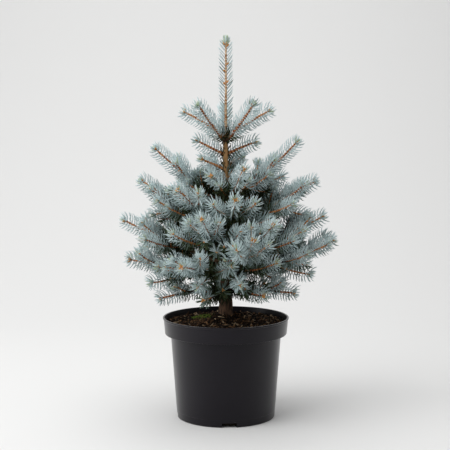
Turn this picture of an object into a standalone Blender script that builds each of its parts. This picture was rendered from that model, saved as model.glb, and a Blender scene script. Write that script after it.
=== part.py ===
# Potted blue spruce: a young tree, 0.62 m above its soil, in a ten-litre nursery pot.
# Metres, +Z up. The origin is the middle of the pot's flat underside, and -Y is the front.
#
# The trunk stands whole on the soil. Short shoots leave it near the top, boughs leave it in
# three tiers lower down, and each shoot or bough ends in its own mass of foliage. A mass is a
# fan of twigs: slim three-sided stems with long flat needles standing out of them.

import math
import random

import bmesh
import bpy
import numpy as np
from mathutils import Vector

GAP = 0.0003                     # clearance between neighbouring pieces
UP = Vector((0, 0, 1))

# Pot: a turned plastic shell with a wide rim band, and drain slots at its foot
POT_HEIGHT = 0.2235
RIM_RADIUS = 0.140
BAND_HEIGHT = 0.0365             # the wide band under the rim
BAND_FOOT_RADIUS = 0.1355
BODY_TOP_RADIUS = 0.1228
BASE_RADIUS = 0.1092
POT_WALL = 0.0022
POT_FLOOR = 0.0030
FLOOR_ROUND = 0.0020
LIP = 0.0030                     # how far the rolled lip stands out and down
RIM_ROUND = 0.0010
SEAM_HEIGHT = 0.016              # a faint step round the foot
SEAM_STEP = 0.0006
FOOT_ROUND = 0.0030
FOOT_CORNER = 0.3                # share of it at the corner between the foot's two bevels
POT_SIDES = 40
DRAIN_COUNT = 4
DRAIN_WIDTH = 0.032
DRAIN_HEIGHT = 0.010
DRAIN_DEPTH = 0.022
DRAIN_AZIMUTH = math.radians(-86)

# Soil: fills the pot, and rises to a flat patch that the trunk stands on
SOIL_EDGE = 0.2115
SOIL_EDGE_ROUND = 0.0030
SOIL_TOP = 0.2240
SOIL_PATCH_RADIUS = 0.030
SOIL_SHOULDER_RADIUS = 0.075
SOIL_SHOULDER = 0.2175

# Trunk: tapers evenly from a flared foot to the leader
TRUNK_TOP = 0.631
TRUNK_FOOT_RADIUS = 0.0152
TRUNK_TIP_RADIUS = 0.0045
TRUNK_SIDES = 12
TRUNK_RINGS = 15
FLARE = 0.0050                   # how far the roots' tops swell at the soil
FLARE_HEIGHT = 0.014
FLARE_LOBES = 5
FLARE_EVEN = 0.6                 # share of the flare that runs all round, the rest is in the lobes
TRUNK_SWAY = 0.0016
SWAY_TURNS = (5.0, 4.0)          # how fast the sway turns along X and along Y
RINGS_LOW = 1.25                 # power that draws the trunk's rings towards its foot

# Boughs
BOUGH_ROOT_RADIUS = 0.0043
BOUGH_TIP_RADIUS = 0.0032
BOUGH_COLLAR = 0.0008            # extra thickness where a bough leaves the trunk
COLLAR_FADE = 7.0                # how fast it dies away along the bough
BOUGH_POINTS = 6
BOUGH_SIDES = 6
BEND_SHARE = 0.5                 # how much of a branch's length keeps to its rise at the trunk
ARC_STEPS = 40
SHARP_EDGE = math.radians(35)    # on the pot, soil, trunk and boughs

# Twigs and needles
STEM_ROOT_RADIUS = 0.0032        # a mass's main stem, where it leaves its bough
TWIG_ROOT_RADIUS = 0.0026
TWIG_TIP_RADIUS = 0.0017
STEM_SIDES = 3
RING_STEP = 0.023                # six needles to each length of this along a twig
NEEDLE = 0.0215
NEEDLE_LEAN = math.radians(40)   # forward, from square to the twig
UPRIGHT_LEAN = math.radians(13)  # and this much more on an upright one
LEAN_SPREAD = math.radians(7)
NEEDLE_LIFT = 0.20               # upward drift of needles on spreading twigs
NEEDLE_SPREAD = (0.90, 1.06)     # of the length
UNDER_LENGTH = 0.86              # of the length, for needles on a twig's under side
UNDER_SIDE = -0.4                # how far down a needle points to count as one of these
LEADER_TOP = 0.841               # the last needle of the leader
LEADER_STEPS = 50
TUFT = 0.015                     # how far the last needles reach past a twig's end
TWIG_CLEAR = 0.0105              # between twigs of two masses
OWN_CLEAR = 0.0085               # between twigs of one mass, away from their roots
LIMB_CLEAR = 0.0060              # between a twig's axis and a limb's bark
NEEDLE_CLEAR = 0.0008            # how much nearer a needle stays to its own twig than to others
NEEDLE_LIMB_CLEAR = 0.0012       # between a needle and a limb's bark
NEEDLE_PROBES = (0.4, 0.7)       # shares of a needle's length where both are tested
NEAR = 0.060                     # how far off a twig or limb still matters to a needle
MIN_TWIG = 0.034                 # shorter twigs are skipped
ROOT_RUN = 0.020                 # stretch at a twig's root where it may be near its own branch
CUT_BACK = 3                     # points a crowded twig is cut back by
ENTRY_OFFSET = 3                 # points between a mass's first end and its first side twig
BACK_SPREAD = (0.94, 1.06)       # of the distance back from the tip
TWIG_SPREAD = (0.90, 1.10)       # of a side twig's length
ANGLE_SPREAD = 6                 # of its spread and rise, in degrees
TWIG_TURN = math.radians(14)     # how far a side twig turns towards its branch
TWIG_CURL = math.radians(22)     # how far it curls up
SAMPLE = 0.004                   # spacing of the points that stand for an axis
SEED = 41

# Every tier: its rise at the trunk in degrees, the share of a branch that is a bare bough, and
# its branches as (azimuth in degrees, reach from the trunk's axis, height of the tip, height
# on the trunk's axis where it starts)
TIERS = {
    "top": dict(rise=38, bough=0.0, branches=(
        (0, 0.110, 0.687, 0.618), (92, 0.100, 0.696, 0.611), (180, 0.104, 0.683, 0.620),
        (229, 0.098, 0.702, 0.611), (311, 0.099, 0.704, 0.612))),
    "upper": dict(rise=26, bough=0.0, branches=(
        (3, 0.080, 0.616, 0.584), (62, 0.088, 0.576, 0.554), (178, 0.077, 0.622, 0.583),
        (200, 0.070, 0.579, 0.550), (243, 0.086, 0.545, 0.510))),
    "high": dict(rise=36, bough=0.0, branches=(
        (0, 0.166, 0.623, 0.474), (36, 0.172, 0.534, 0.455), (106, 0.150, 0.574, 0.476),
        (180, 0.165, 0.607, 0.468), (288, 0.132, 0.567, 0.464))),
    "middle": dict(rise=38, bough=0.30, branches=(
        (0, 0.209, 0.532, 0.397), (52, 0.200, 0.522, 0.386), (112, 0.196, 0.528, 0.398),
        (180, 0.197, 0.535, 0.388), (232, 0.176, 0.523, 0.398), (277, 0.176, 0.503, 0.385))),
    "low": dict(rise=20, bough=0.34, branches=(
        (0, 0.227, 0.455, 0.350), (72, 0.226, 0.440, 0.340), (130, 0.230, 0.448, 0.351),
        (180, 0.238, 0.446, 0.340), (255, 0.205, 0.468, 0.352), (299, 0.212, 0.454, 0.341))),
    "lowest": dict(rise=12, bough=0.34, branches=(
        (0, 0.250, 0.402, 0.316), (48, 0.236, 0.372, 0.306), (104, 0.228, 0.362, 0.317),
        (180, 0.228, 0.355, 0.306), (243, 0.216, 0.362, 0.316), (286, 0.214, 0.426, 0.307))),
    "skirt": dict(rise=-4, bough=0.0, branches=(
        (-4, 0.166, 0.277, 0.290), (88, 0.160, 0.272, 0.284), (183, 0.160, 0.262, 0.288),
        (245, 0.128, 0.276, 0.284), (311, 0.138, 0.286, 0.289))),
}
# Side twigs of each tier's branches, the youngest first: how far back from the tip they leave,
# their length, their spread from the branch and their rise in degrees, and how many there are
SIDE_TWIGS = {
    "high": ((0.126, 0.062, 56, 28, 2), (0.168, 0.078, 42, 20, 2), (0.152, 0.044, 12, 62, 1)),
    "middle": ((0.098, 0.072, 46, 20, 2), (0.150, 0.104, 52, 8, 2), (0.118, 0.066, 22, -34, 1),
               (0.140, 0.050, 20, 56, 1)),
    "low": ((0.104, 0.070, 44, 26, 2), (0.150, 0.112, 52, 7, 2), (0.136, 0.060, 22, -14, 1)),
    "lowest": ((0.086, 0.066, 42, 15, 2), (0.150, 0.104, 54, 1, 2), (0.158, 0.080, 20, -24, 1)),
    "skirt": ((0.086, 0.050, 44, 8, 2),),
}


def heading(azimuth, rise):
    """Unit vector at an azimuth and a rise, both in radians."""
    return Vector((math.cos(rise) * math.cos(azimuth), math.cos(rise) * math.sin(azimuth), math.sin(rise)))


# ---------------------------------------------------------------- axes: where every twig runs

def trunk_radius(height):
    """The trunk's radius, without its root flare, at a height above the ground."""
    share = (height - SOIL_TOP) / (TRUNK_TOP - SOIL_TOP)
    return TRUNK_FOOT_RADIUS + (TRUNK_TIP_RADIUS - TRUNK_FOOT_RADIUS) * share


def trunk_point(height):
    """The trunk's axis, which sways a little on its way up."""
    share = (height - SOIL_TOP) / (TRUNK_TOP - SOIL_TOP)
    sway = TRUNK_SWAY * math.sin(math.pi * share)
    return Vector((sway * math.sin(SWAY_TURNS[0] * share), sway * math.cos(SWAY_TURNS[1] * share), height))


def walk(path, step):
    """Points at even steps along a path, with its first and last point kept."""
    lengths = [0.0]
    for here, there in zip(path, path[1:]):
        lengths.append(lengths[-1] + (there - here).length)
    count = max(1, round(lengths[-1] / step))
    points, leg = [], 0
    for number in range(count + 1):
        goal = lengths[-1] * number / count
        while leg < len(path) - 2 and lengths[leg + 1] < goal:
            leg += 1
        share = (goal - lengths[leg]) / (lengths[leg + 1] - lengths[leg])
        points.append(path[leg].lerp(path[leg + 1], share))
    return points


def arc(start, bend, end):
    """Points along the curve from start to end that leaves and arrives by way of bend."""
    shares = [step / ARC_STEPS for step in range(ARC_STEPS + 1)]
    return [start.lerp(bend, share).lerp(bend.lerp(end, share), share) for share in shares]


def branch_path(azimuth, root, rise, reach, tip):
    """A branch's axis, in the upright plane at its azimuth, from the trunk's axis to its end."""
    start = trunk_point(root)
    out = heading(azimuth, 0.0)
    end = Vector((out.x * reach, out.y * reach, tip))
    bend = start + heading(azimuth, rise) * (end - start).length * BEND_SHARE
    last = arc(start, bend, end)[-2:]
    end -= (last[1] - last[0]).normalized() * TUFT
    return walk(arc(start, bend, end), SAMPLE)


def twig_path(start, azimuth, rise, length, turn):
    """A side twig's axis: it leaves at an azimuth and a rise, and curls up and towards its branch."""
    count = max(2, round(length / SAMPLE))
    points = [start.copy()]
    for number in range(count):
        share = number / count
        ahead = heading(azimuth - turn * TWIG_TURN * share, rise + TWIG_CURL * share)
        points.append(points[-1] + ahead * length / count)
    return points


class Twig:
    """One stem of a mass: its points, its radii, and whether it is rooted in another twig."""

    def __init__(self, points, root_radius, rooted):
        self.points = points
        self.root_radius = root_radius
        self.rooted = rooted


class Mass:
    """The foliage at the end of one bough, or straight on the trunk."""

    def __init__(self, name, tier, azimuth, branch, entry):
        self.name = name
        self.tier = tier
        self.azimuth = azimuth
        self.branch = branch             # the whole branch's axis
        self.entry = entry               # index where the bough ends and the mass begins
        self.random = random.Random(f"{SEED} {name}")
        self.twigs = []


def spaced(points):
    """An array of points, for measuring distances."""
    return np.array([tuple(point) for point in points])


def nearest(points, others):
    """For each point, the distance to the nearest of the others."""
    if not len(others):
        return np.full(len(points), 1.0)
    return np.sqrt(((points[:, None, :] - others[None, :, :]) ** 2).sum(axis=2)).min(axis=1)


def plan_masses():
    """Every branch of every tier, with its main twig."""
    masses = []
    for tier, spec in TIERS.items():
        for number, (degrees, reach, tip, root) in enumerate(spec["branches"], 1):
            azimuth = math.radians(degrees)
            branch = branch_path(azimuth, root, math.radians(spec["rise"]), reach, tip)
            entry = round(spec["bough"] * (len(branch) - 1))
            masses.append(Mass(f"{tier}_foliage_{number}", tier, azimuth, branch, entry))
    foot, head = Vector((0, 0, TRUNK_TOP)), Vector((0, 0, LEADER_TOP - TUFT))
    leader = [foot.lerp(head, step / LEADER_STEPS) for step in range(LEADER_STEPS + 1)]
    masses.append(Mass("leader_foliage", "leader", 0.0, leader, 0))
    for mass in masses:
        mass.twigs.append(Twig(mass.branch[mass.entry:], STEM_ROOT_RADIUS, False))
    return masses


def limb_points(masses):
    """Points along the trunk and boughs, each with its limb's radius there."""
    points, radii = [], []
    for height in np.arange(SOIL_TOP, TRUNK_TOP, SAMPLE):
        points.append(trunk_point(height))
        radii.append(trunk_radius(height))
    for mass in masses:
        for number in range(0, mass.entry + 1):
            points.append(mass.branch[number])
            share = number / mass.entry if mass.entry else 1.0
            radii.append(BOUGH_ROOT_RADIUS + (BOUGH_TIP_RADIUS - BOUGH_ROOT_RADIUS) * share)
    return spaced(points), np.array(radii)


def add_twig(mass, masses, limbs, radii, points, root_radius):
    """Keeps as much of a twig as stays in its mass's space, and skips one that is too short."""
    array = spaced(points)
    own = [twig.points for twig in mass.twigs]
    other = [twig.points for neighbour in masses if neighbour is not mass for twig in neighbour.twigs]
    free = nearest(array, spaced([p for path in other for p in path])) > TWIG_CLEAR
    clear = np.sqrt(((array[:, None, :] - limbs[None, :, :]) ** 2).sum(axis=2)) - radii
    away = np.arange(len(array)) * SAMPLE > ROOT_RUN
    free &= (clear.min(axis=1) > LIMB_CLEAR) | ~away
    free &= (nearest(array, spaced([p for path in own for p in path])) > OWN_CLEAR) | ~away
    stop = len(points) if free.all() else int(np.argmin(free)) - CUT_BACK
    if stop * SAMPLE >= MIN_TWIG:
        mass.twigs.append(Twig(points[:stop], root_radius, True))


def grow(masses):
    """Side twigs for all masses in turn, so that none crowds out its neighbours."""
    limbs, radii = limb_points(masses)
    for rank in range(max(len(rules) for rules in SIDE_TWIGS.values())):
        for mass in masses:
            rules = SIDE_TWIGS.get(mass.tier, ())
            if rank >= len(rules):
                continue
            back, length, spread, rise, count = rules[rank]
            back *= mass.random.uniform(*BACK_SPREAD)
            number = len(mass.branch) - 1 - round((back - TUFT) / SAMPLE)
            number = max(number, mass.entry + ENTRY_OFFSET)
            sides = (1, -1) if count == 2 else (mass.random.choice((1, -1)),)
            for side in sides:
                turn = math.radians(spread + mass.random.uniform(-ANGLE_SPREAD, ANGLE_SPREAD)) * side
                own_rise = math.radians(rise + mass.random.uniform(-ANGLE_SPREAD, ANGLE_SPREAD))
                own_length = length * mass.random.uniform(*TWIG_SPREAD)
                path = twig_path(mass.branch[number], mass.azimuth + turn, own_rise, own_length, side)
                add_twig(mass, masses, limbs, radii, path, TWIG_ROOT_RADIUS)
    return limbs, radii


# ---------------------------------------------------------------- meshes: twigs with needles

def ring_frames(points):
    """Stations along a twig, each with its own heading and a pair of square directions."""
    stations = walk(points, RING_STEP)
    frames = []
    for number, point in enumerate(stations):
        before, after = stations[max(number - 1, 0)], stations[min(number + 1, len(stations) - 1)]
        along = (after - before).normalized()
        flank = UP.cross(along)
        flank = flank.normalized() if flank.length > 0.1 else Vector((0, 1, 0))
        frames.append((point, along, flank, along.cross(flank)))
    return frames


def needle_tip(face, along, centre, rng):
    """Where the needle on a face of a twig ends."""
    middle = face.calc_center_median()
    radial = (middle - centre)
    radial = (radial - along * radial.dot(along)).normalized()
    level = 1.0 - abs(along.z)
    lean = NEEDLE_LEAN + UPRIGHT_LEAN * (1.0 - level) ** 2 + rng.uniform(-LEAN_SPREAD, LEAN_SPREAD)
    way = radial * math.cos(lean) + along * math.sin(lean) + UP * NEEDLE_LIFT * level
    length = NEEDLE * rng.uniform(*NEEDLE_SPREAD) * (UNDER_LENGTH if radial.z * level < UNDER_SIDE else 1.0)
    return middle + way.normalized() * length


def twig_mesh(twig):
    """A three-sided tapering stem, each ring turned half a side from the one before, so that
    the faces between them take needles at six places round the twig."""
    mesh = bmesh.new()
    frames = ring_frames(twig.points)
    rings = []
    for number, (point, along, flank, top) in enumerate(frames):
        share = number / (len(frames) - 1)
        radius = twig.root_radius + (TWIG_TIP_RADIUS - twig.root_radius) * share
        ring = []
        for corner in range(STEM_SIDES):
            angle = math.tau * (corner + number / 2 + 0.25) / STEM_SIDES
            ring.append(mesh.verts.new(point + (flank * math.cos(angle) + top * math.sin(angle)) * radius))
        rings.append(ring)
    sides = []
    for number, (low, high) in enumerate(zip(rings, rings[1:])):
        for corner in range(STEM_SIDES):
            after = (corner + 1) % STEM_SIDES
            sides.append((mesh.faces.new((low[corner], low[after], high[corner])), number))
            sides.append((mesh.faces.new((low[after], high[after], high[corner])), number))
    mesh.faces.new(rings[0][::-1])
    end = mesh.faces.new(rings[-1])
    mesh.normal_update()
    return mesh, frames, sides, end


def add_needles(mesh, twig, frames, sides, end, allowed, rng):
    """Draws every allowed face of a twig out to a needle, and its end to a tuft."""
    for face, number in sides:
        centre = (frames[number][0] + frames[number + 1][0]) / 2
        tip = needle_tip(face, frames[number][1], centre, rng)
        far_enough = number > 0 or not twig.rooted
        if far_enough and allowed([vertex.co.copy() for vertex in face.verts], tip):
            apex = bmesh.ops.poke(mesh, faces=[face])["verts"][0]
            apex.co = tip
    apex = bmesh.ops.poke(mesh, faces=[end])["verts"][0]
    apex.co = frames[-1][0] + frames[-1][1] * TUFT


def needle_rule(mass, twig, masses, limbs, radii):
    """A test that keeps a needle nearer to its own twig than to any other, and off the limbs."""
    own = spaced(twig.points)
    rest = [other.points for group in masses for other in group.twigs if other is not twig]
    rest = spaced([point for path in rest for point in path])
    near = rest[nearest(rest, own) < NEAR]
    limb_near = nearest(limbs, own) < NEAR
    limbs, radii = limbs[limb_near], radii[limb_near]

    def allowed(corners, tip):
        points = spaced([corner.lerp(tip, share) for corner in corners for share in NEEDLE_PROBES] + [tip])
        if len(near) and (nearest(points, near) - nearest(points, own)).min() < NEEDLE_CLEAR:
            return False
        if len(limbs):
            clear = np.sqrt(((points[:, None, :] - limbs[None, :, :]) ** 2).sum(axis=2)) - radii
            return clear.min() > NEEDLE_LIMB_CLEAR
        return True

    return allowed


# ---------------------------------------------------------------- objects

def material(name, colour, roughness):
    made = bpy.data.materials.new(name)
    made.use_nodes = True
    shader = made.node_tree.nodes["Principled BSDF"]
    shader.inputs["Base Color"].default_value = (*colour, 1)
    shader.inputs["Roughness"].default_value = roughness
    shader.inputs["Metallic"].default_value = 0.0
    return made


def add_object(name, mesh, collection, look):
    item = bpy.data.objects.new(name, mesh)
    collection.objects.link(item)
    if look:
        mesh.materials.clear()
        mesh.materials.append(look)
    return item


def evaluated_mesh(item):
    """A mesh of the object with its modifiers, or its bevelled curve, applied."""
    bpy.context.view_layer.update()
    graph = bpy.context.evaluated_depsgraph_get()
    return bpy.data.meshes.new_from_object(item.evaluated_get(graph))


def tube(name, points, radii, sides, collection, look):
    """A tapering round limb along points, as a closed mesh."""
    curve = bpy.data.curves.new(name, "CURVE")
    curve.dimensions = "3D"
    curve.bevel_depth = 1.0
    curve.bevel_resolution = (sides - 4) // 2
    curve.use_fill_caps = True
    spline = curve.splines.new("POLY")
    spline.points.add(len(points) - 1)
    for knot, point, radius in zip(spline.points, points, radii):
        knot.co = (*point, 1)
        knot.radius = radius
    item = bpy.data.objects.new(name, curve)
    collection.objects.link(item)
    mesh = evaluated_mesh(item)
    bpy.data.objects.remove(item)
    bpy.data.curves.remove(curve)
    shape = bmesh.new()
    shape.from_mesh(mesh)
    bmesh.ops.remove_doubles(shape, verts=shape.verts, dist=0.00001)
    bmesh.ops.recalc_face_normals(shape, faces=shape.faces)
    shape.to_mesh(mesh)
    shape.free()
    mesh.name = name
    return add_object(name, mesh, collection, look)


def turned(name, profile, sides, collection, look):
    """A shape turned about Z from a profile of (radius, height) points, ends on the axis."""
    mesh = bpy.data.meshes.new(name)
    vertices = [(radius, 0, height) for radius, height in profile]
    mesh.from_pydata(vertices, [(i, i + 1) for i in range(len(vertices) - 1)], [])
    item = add_object(name, mesh, collection, look)
    screw = item.modifiers.new("turn", "SCREW")
    screw.steps = sides
    screw.render_steps = sides
    screw.use_merge_vertices = True
    screw.merge_threshold = 0.00005
    return item


def is_closed(mesh):
    """Whether every edge of a mesh lies between two faces."""
    shape = bmesh.new()
    shape.from_mesh(mesh)
    closed = all(edge.is_manifold for edge in shape.edges)
    shape.free()
    return closed


def apply_modifiers(item, look):
    """Swaps the object's mesh for its evaluated one. A Boolean that leaves it open is solved the
    other way."""
    mesh = evaluated_mesh(item)
    if not is_closed(mesh):
        for modifier in item.modifiers:
            modifier.solver = "MANIFOLD"
        mesh = evaluated_mesh(item)
    item.modifiers.clear()
    item.data = mesh
    mesh.materials.clear()
    mesh.materials.append(look)


def make_pot(parts, cutters, look):
    """The pot, with its floor, band and rolled lip, and slots cut through its foot."""
    band_foot = POT_HEIGHT - BAND_HEIGHT
    inner_base = BASE_RADIUS - POT_WALL
    seam_radius = BASE_RADIUS + (BODY_TOP_RADIUS - BASE_RADIUS) * SEAM_HEIGHT / band_foot
    profile = (
        (0, POT_FLOOR),
        (inner_base - FLOOR_ROUND, POT_FLOOR),
        (inner_base, POT_FLOOR + FLOOR_ROUND),
        (BODY_TOP_RADIUS - POT_WALL, band_foot),
        (BAND_FOOT_RADIUS - POT_WALL, band_foot + POT_WALL),
        (RIM_RADIUS - LIP / 2 - POT_WALL, POT_HEIGHT - RIM_ROUND),
        (RIM_RADIUS - LIP / 2 - POT_WALL + RIM_ROUND, POT_HEIGHT),
        (RIM_RADIUS - RIM_ROUND, POT_HEIGHT),
        (RIM_RADIUS, POT_HEIGHT - RIM_ROUND),
        (RIM_RADIUS, POT_HEIGHT - LIP),
        (RIM_RADIUS - LIP / 2, POT_HEIGHT - LIP - RIM_ROUND),
        (BAND_FOOT_RADIUS, band_foot),
        (BODY_TOP_RADIUS, band_foot - RIM_ROUND),
        (seam_radius, SEAM_HEIGHT + SEAM_STEP),
        (seam_radius - SEAM_STEP, SEAM_HEIGHT),
        (BASE_RADIUS, FOOT_ROUND),
        (BASE_RADIUS - FOOT_ROUND * FOOT_CORNER, FOOT_ROUND * FOOT_CORNER),
        (BASE_RADIUS - FOOT_ROUND, 0),
        (0, 0),
    )
    pot = turned("pot", profile, POT_SIDES, parts, look)
    for number in range(DRAIN_COUNT):
        azimuth = DRAIN_AZIMUTH + math.tau * number / DRAIN_COUNT
        mesh = bpy.data.meshes.new("drain_cutter")
        shape = bmesh.new()
        bmesh.ops.create_cube(shape, size=1)
        bmesh.ops.scale(shape, vec=(DRAIN_DEPTH * 2, DRAIN_WIDTH, DRAIN_HEIGHT * 2), verts=shape.verts)
        shape.to_mesh(mesh)
        shape.free()
        cutter = add_object("drain_cutter", mesh, cutters, None)
        cutter.location = heading(azimuth, 0) * BASE_RADIUS
        cutter.rotation_euler.z = azimuth
        cutter.hide_render = True
        cutter.display_type = "WIRE"
        slot = pot.modifiers.new("drain slot", "BOOLEAN")
        slot.operation = "DIFFERENCE"
        slot.object = cutter
    return pot


def make_soil(parts, look):
    """The compost: it follows the pot's inside and rises to the flat patch under the trunk."""
    band_foot = POT_HEIGHT - BAND_HEIGHT
    shelf = band_foot + POT_WALL + GAP
    inner_base = BASE_RADIUS - POT_WALL - 2 * GAP
    inner_band = BAND_FOOT_RADIUS - POT_WALL - 2 * GAP
    flare = (RIM_RADIUS - LIP / 2 - BAND_FOOT_RADIUS) / (BAND_HEIGHT - POT_WALL)
    edge = inner_band + (SOIL_EDGE - SOIL_EDGE_ROUND - shelf) * flare
    profile = (
        (0, SOIL_TOP),
        (SOIL_PATCH_RADIUS, SOIL_TOP),
        (SOIL_SHOULDER_RADIUS, SOIL_SHOULDER),
        (edge - SOIL_EDGE_ROUND, SOIL_EDGE),
        (edge, SOIL_EDGE - SOIL_EDGE_ROUND),
        (inner_band, shelf),
        (BODY_TOP_RADIUS - POT_WALL - 2 * GAP, band_foot + GAP),
        (inner_base, POT_FLOOR + FLOOR_ROUND + GAP),
        (inner_base - FLOOR_ROUND, POT_FLOOR + GAP),
        (0, POT_FLOOR + GAP),
    )
    return turned("soil", profile, POT_SIDES, parts, look)


def make_trunk(name, collection, look, swell=0.0):
    """The trunk: rings along its axis, closer at the foot, with the tops of its roots swelling at
    the soil. The branches' seats are cut with a copy that is swollen by the gap."""
    start = SOIL_TOP + GAP
    shares = [number / (TRUNK_RINGS - 1) for number in range(TRUNK_RINGS)]
    heights = [start + (TRUNK_TOP - start) * share ** RINGS_LOW for share in shares]
    points = [trunk_point(height) for height in heights]
    radii = [trunk_radius(height) + swell for height in heights]
    trunk = tube(name, points, radii, TRUNK_SIDES, collection, look)
    for vertex in trunk.data.vertices:
        axis = trunk_point(vertex.co.z)
        out = Vector((vertex.co.x - axis.x, vertex.co.y - axis.y, 0))
        if out.length > TRUNK_TIP_RADIUS / 2:
            lobe = FLARE_EVEN + (1 - FLARE_EVEN) * math.cos(FLARE_LOBES * math.atan2(out.y, out.x))
            swelling = math.exp((SOIL_TOP - vertex.co.z) / FLARE_HEIGHT)
            vertex.co += out.normalized() * FLARE * lobe * swelling
    return trunk


def seat_on_trunk(item, cutter, look):
    """Cuts away what would lie inside the trunk, and the gap round it."""
    seat = item.modifiers.new("seat", "BOOLEAN")
    seat.operation = "DIFFERENCE"
    seat.object = cutter
    apply_modifiers(item, look)


def make_bough(mass, parts, cutter, look):
    """The limb from the trunk to its mass."""
    points = mass.branch[:mass.entry + 1]
    path = walk(points, (mass.entry * SAMPLE) / (BOUGH_POINTS - 1))
    radii = []
    for number in range(len(path)):
        share = number / (len(path) - 1)
        collar = BOUGH_COLLAR * math.exp(-share * COLLAR_FADE)
        radii.append(BOUGH_ROOT_RADIUS + (BOUGH_TIP_RADIUS - BOUGH_ROOT_RADIUS) * share + collar)
    bough = tube(mass.name.replace("foliage", "bough"), path, radii, BOUGH_SIDES, parts, look)
    seat_on_trunk(bough, cutter, look)
    return bough


def make_mass(mass, masses, limbs, radii, parts, cutter, look):
    """One mass of foliage: its twigs, each with its needles, joined into one solid."""
    pieces = []
    for number, twig in enumerate(mass.twigs):
        if number == 0 and (mass.entry or mass.tier == "leader"):
            ahead = (twig.points[1] - twig.points[0]).normalized()
            twig.points[0] = twig.points[0] + ahead * GAP
        shape, frames, sides, end = twig_mesh(twig)
        allowed = needle_rule(mass, twig, masses, limbs, radii)
        add_needles(shape, twig, frames, sides, end, allowed, mass.random)
        bmesh.ops.triangulate(shape, faces=shape.faces)
        bmesh.ops.recalc_face_normals(shape, faces=shape.faces)
        mesh = bpy.data.meshes.new(mass.name)
        shape.to_mesh(mesh)
        shape.free()
        pieces.append(mesh)
    item = add_object(mass.name, pieces[0], parts, look)
    twigs = bpy.data.collections.new("twigs")
    bpy.context.scene.collection.children.link(twigs)
    for mesh in pieces[1:]:
        add_object("twig", mesh, twigs, look)
    if len(pieces) > 1:
        join = item.modifiers.new("join", "BOOLEAN")
        join.operation = "UNION"
        join.operand_type = "COLLECTION"
        join.collection = twigs
    if mass.entry == 0 and mass.tier != "leader":
        seat_on_trunk(item, cutter, look)
    elif len(pieces) > 1:
        apply_modifiers(item, look)
    for piece in list(twigs.objects):
        bpy.data.objects.remove(piece)
    bpy.data.collections.remove(twigs)
    return item


def main():
    for item in list(bpy.data.objects):
        bpy.data.objects.remove(item)
    parts = bpy.data.collections.new("potted_spruce")
    cutters = bpy.data.collections.new("cutters")
    bpy.context.scene.collection.children.link(parts)
    bpy.context.scene.collection.children.link(cutters)
    plastic = material("pot plastic", (0.030, 0.030, 0.033), 0.55)
    compost = material("compost", (0.045, 0.028, 0.018), 0.95)
    bark = material("bark", (0.180, 0.095, 0.048), 0.85)
    needles = material("blue needles", (0.290, 0.390, 0.420), 0.60)

    make_pot(parts, cutters, plastic)
    make_soil(parts, compost)
    make_trunk("trunk", parts, bark)
    cutter = make_trunk("seat_cutter", cutters, bark, swell=GAP)
    cutter.hide_render = True
    cutter.display_type = "WIRE"

    masses = plan_masses()
    limbs, radii = grow(masses)
    for mass in masses:
        if mass.entry:
            make_bough(mass, parts, cutter, bark)
        make_mass(mass, masses, limbs, radii, parts, cutter, needles)
    for item in parts.objects:
        if item.name in ("pot", "soil", "trunk") or "bough" in item.name:
            item.data.shade_smooth()
            item.data.set_sharp_from_angle(angle=SHARP_EDGE)


main()
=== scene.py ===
import math
import random
import bpy
import numpy as np
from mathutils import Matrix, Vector, noise


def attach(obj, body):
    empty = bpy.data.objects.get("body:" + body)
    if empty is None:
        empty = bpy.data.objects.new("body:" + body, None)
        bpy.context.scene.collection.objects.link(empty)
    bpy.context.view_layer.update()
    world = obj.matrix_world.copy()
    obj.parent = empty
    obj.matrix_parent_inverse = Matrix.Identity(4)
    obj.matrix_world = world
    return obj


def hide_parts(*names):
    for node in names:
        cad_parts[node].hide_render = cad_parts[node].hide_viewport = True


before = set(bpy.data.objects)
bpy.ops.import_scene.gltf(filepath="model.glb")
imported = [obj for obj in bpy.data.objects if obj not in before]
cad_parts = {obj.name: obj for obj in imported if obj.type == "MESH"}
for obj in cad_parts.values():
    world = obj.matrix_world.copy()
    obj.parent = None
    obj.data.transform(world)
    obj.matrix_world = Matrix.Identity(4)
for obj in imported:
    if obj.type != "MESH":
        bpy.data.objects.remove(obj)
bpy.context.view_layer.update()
print("frame loaded:", len(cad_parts), "nodes")


class Wire:                            # a socket in a look; + and * with it add Math nodes
    def __init__(self, look, socket):
        self.look = look
        self.socket = socket

    def __add__(self, other):
        return self.look.maths("ADD", self, other)

    def __mul__(self, other):
        return self.look.maths("MULTIPLY", self, other)

    __radd__ = __add__
    __rmul__ = __mul__


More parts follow.
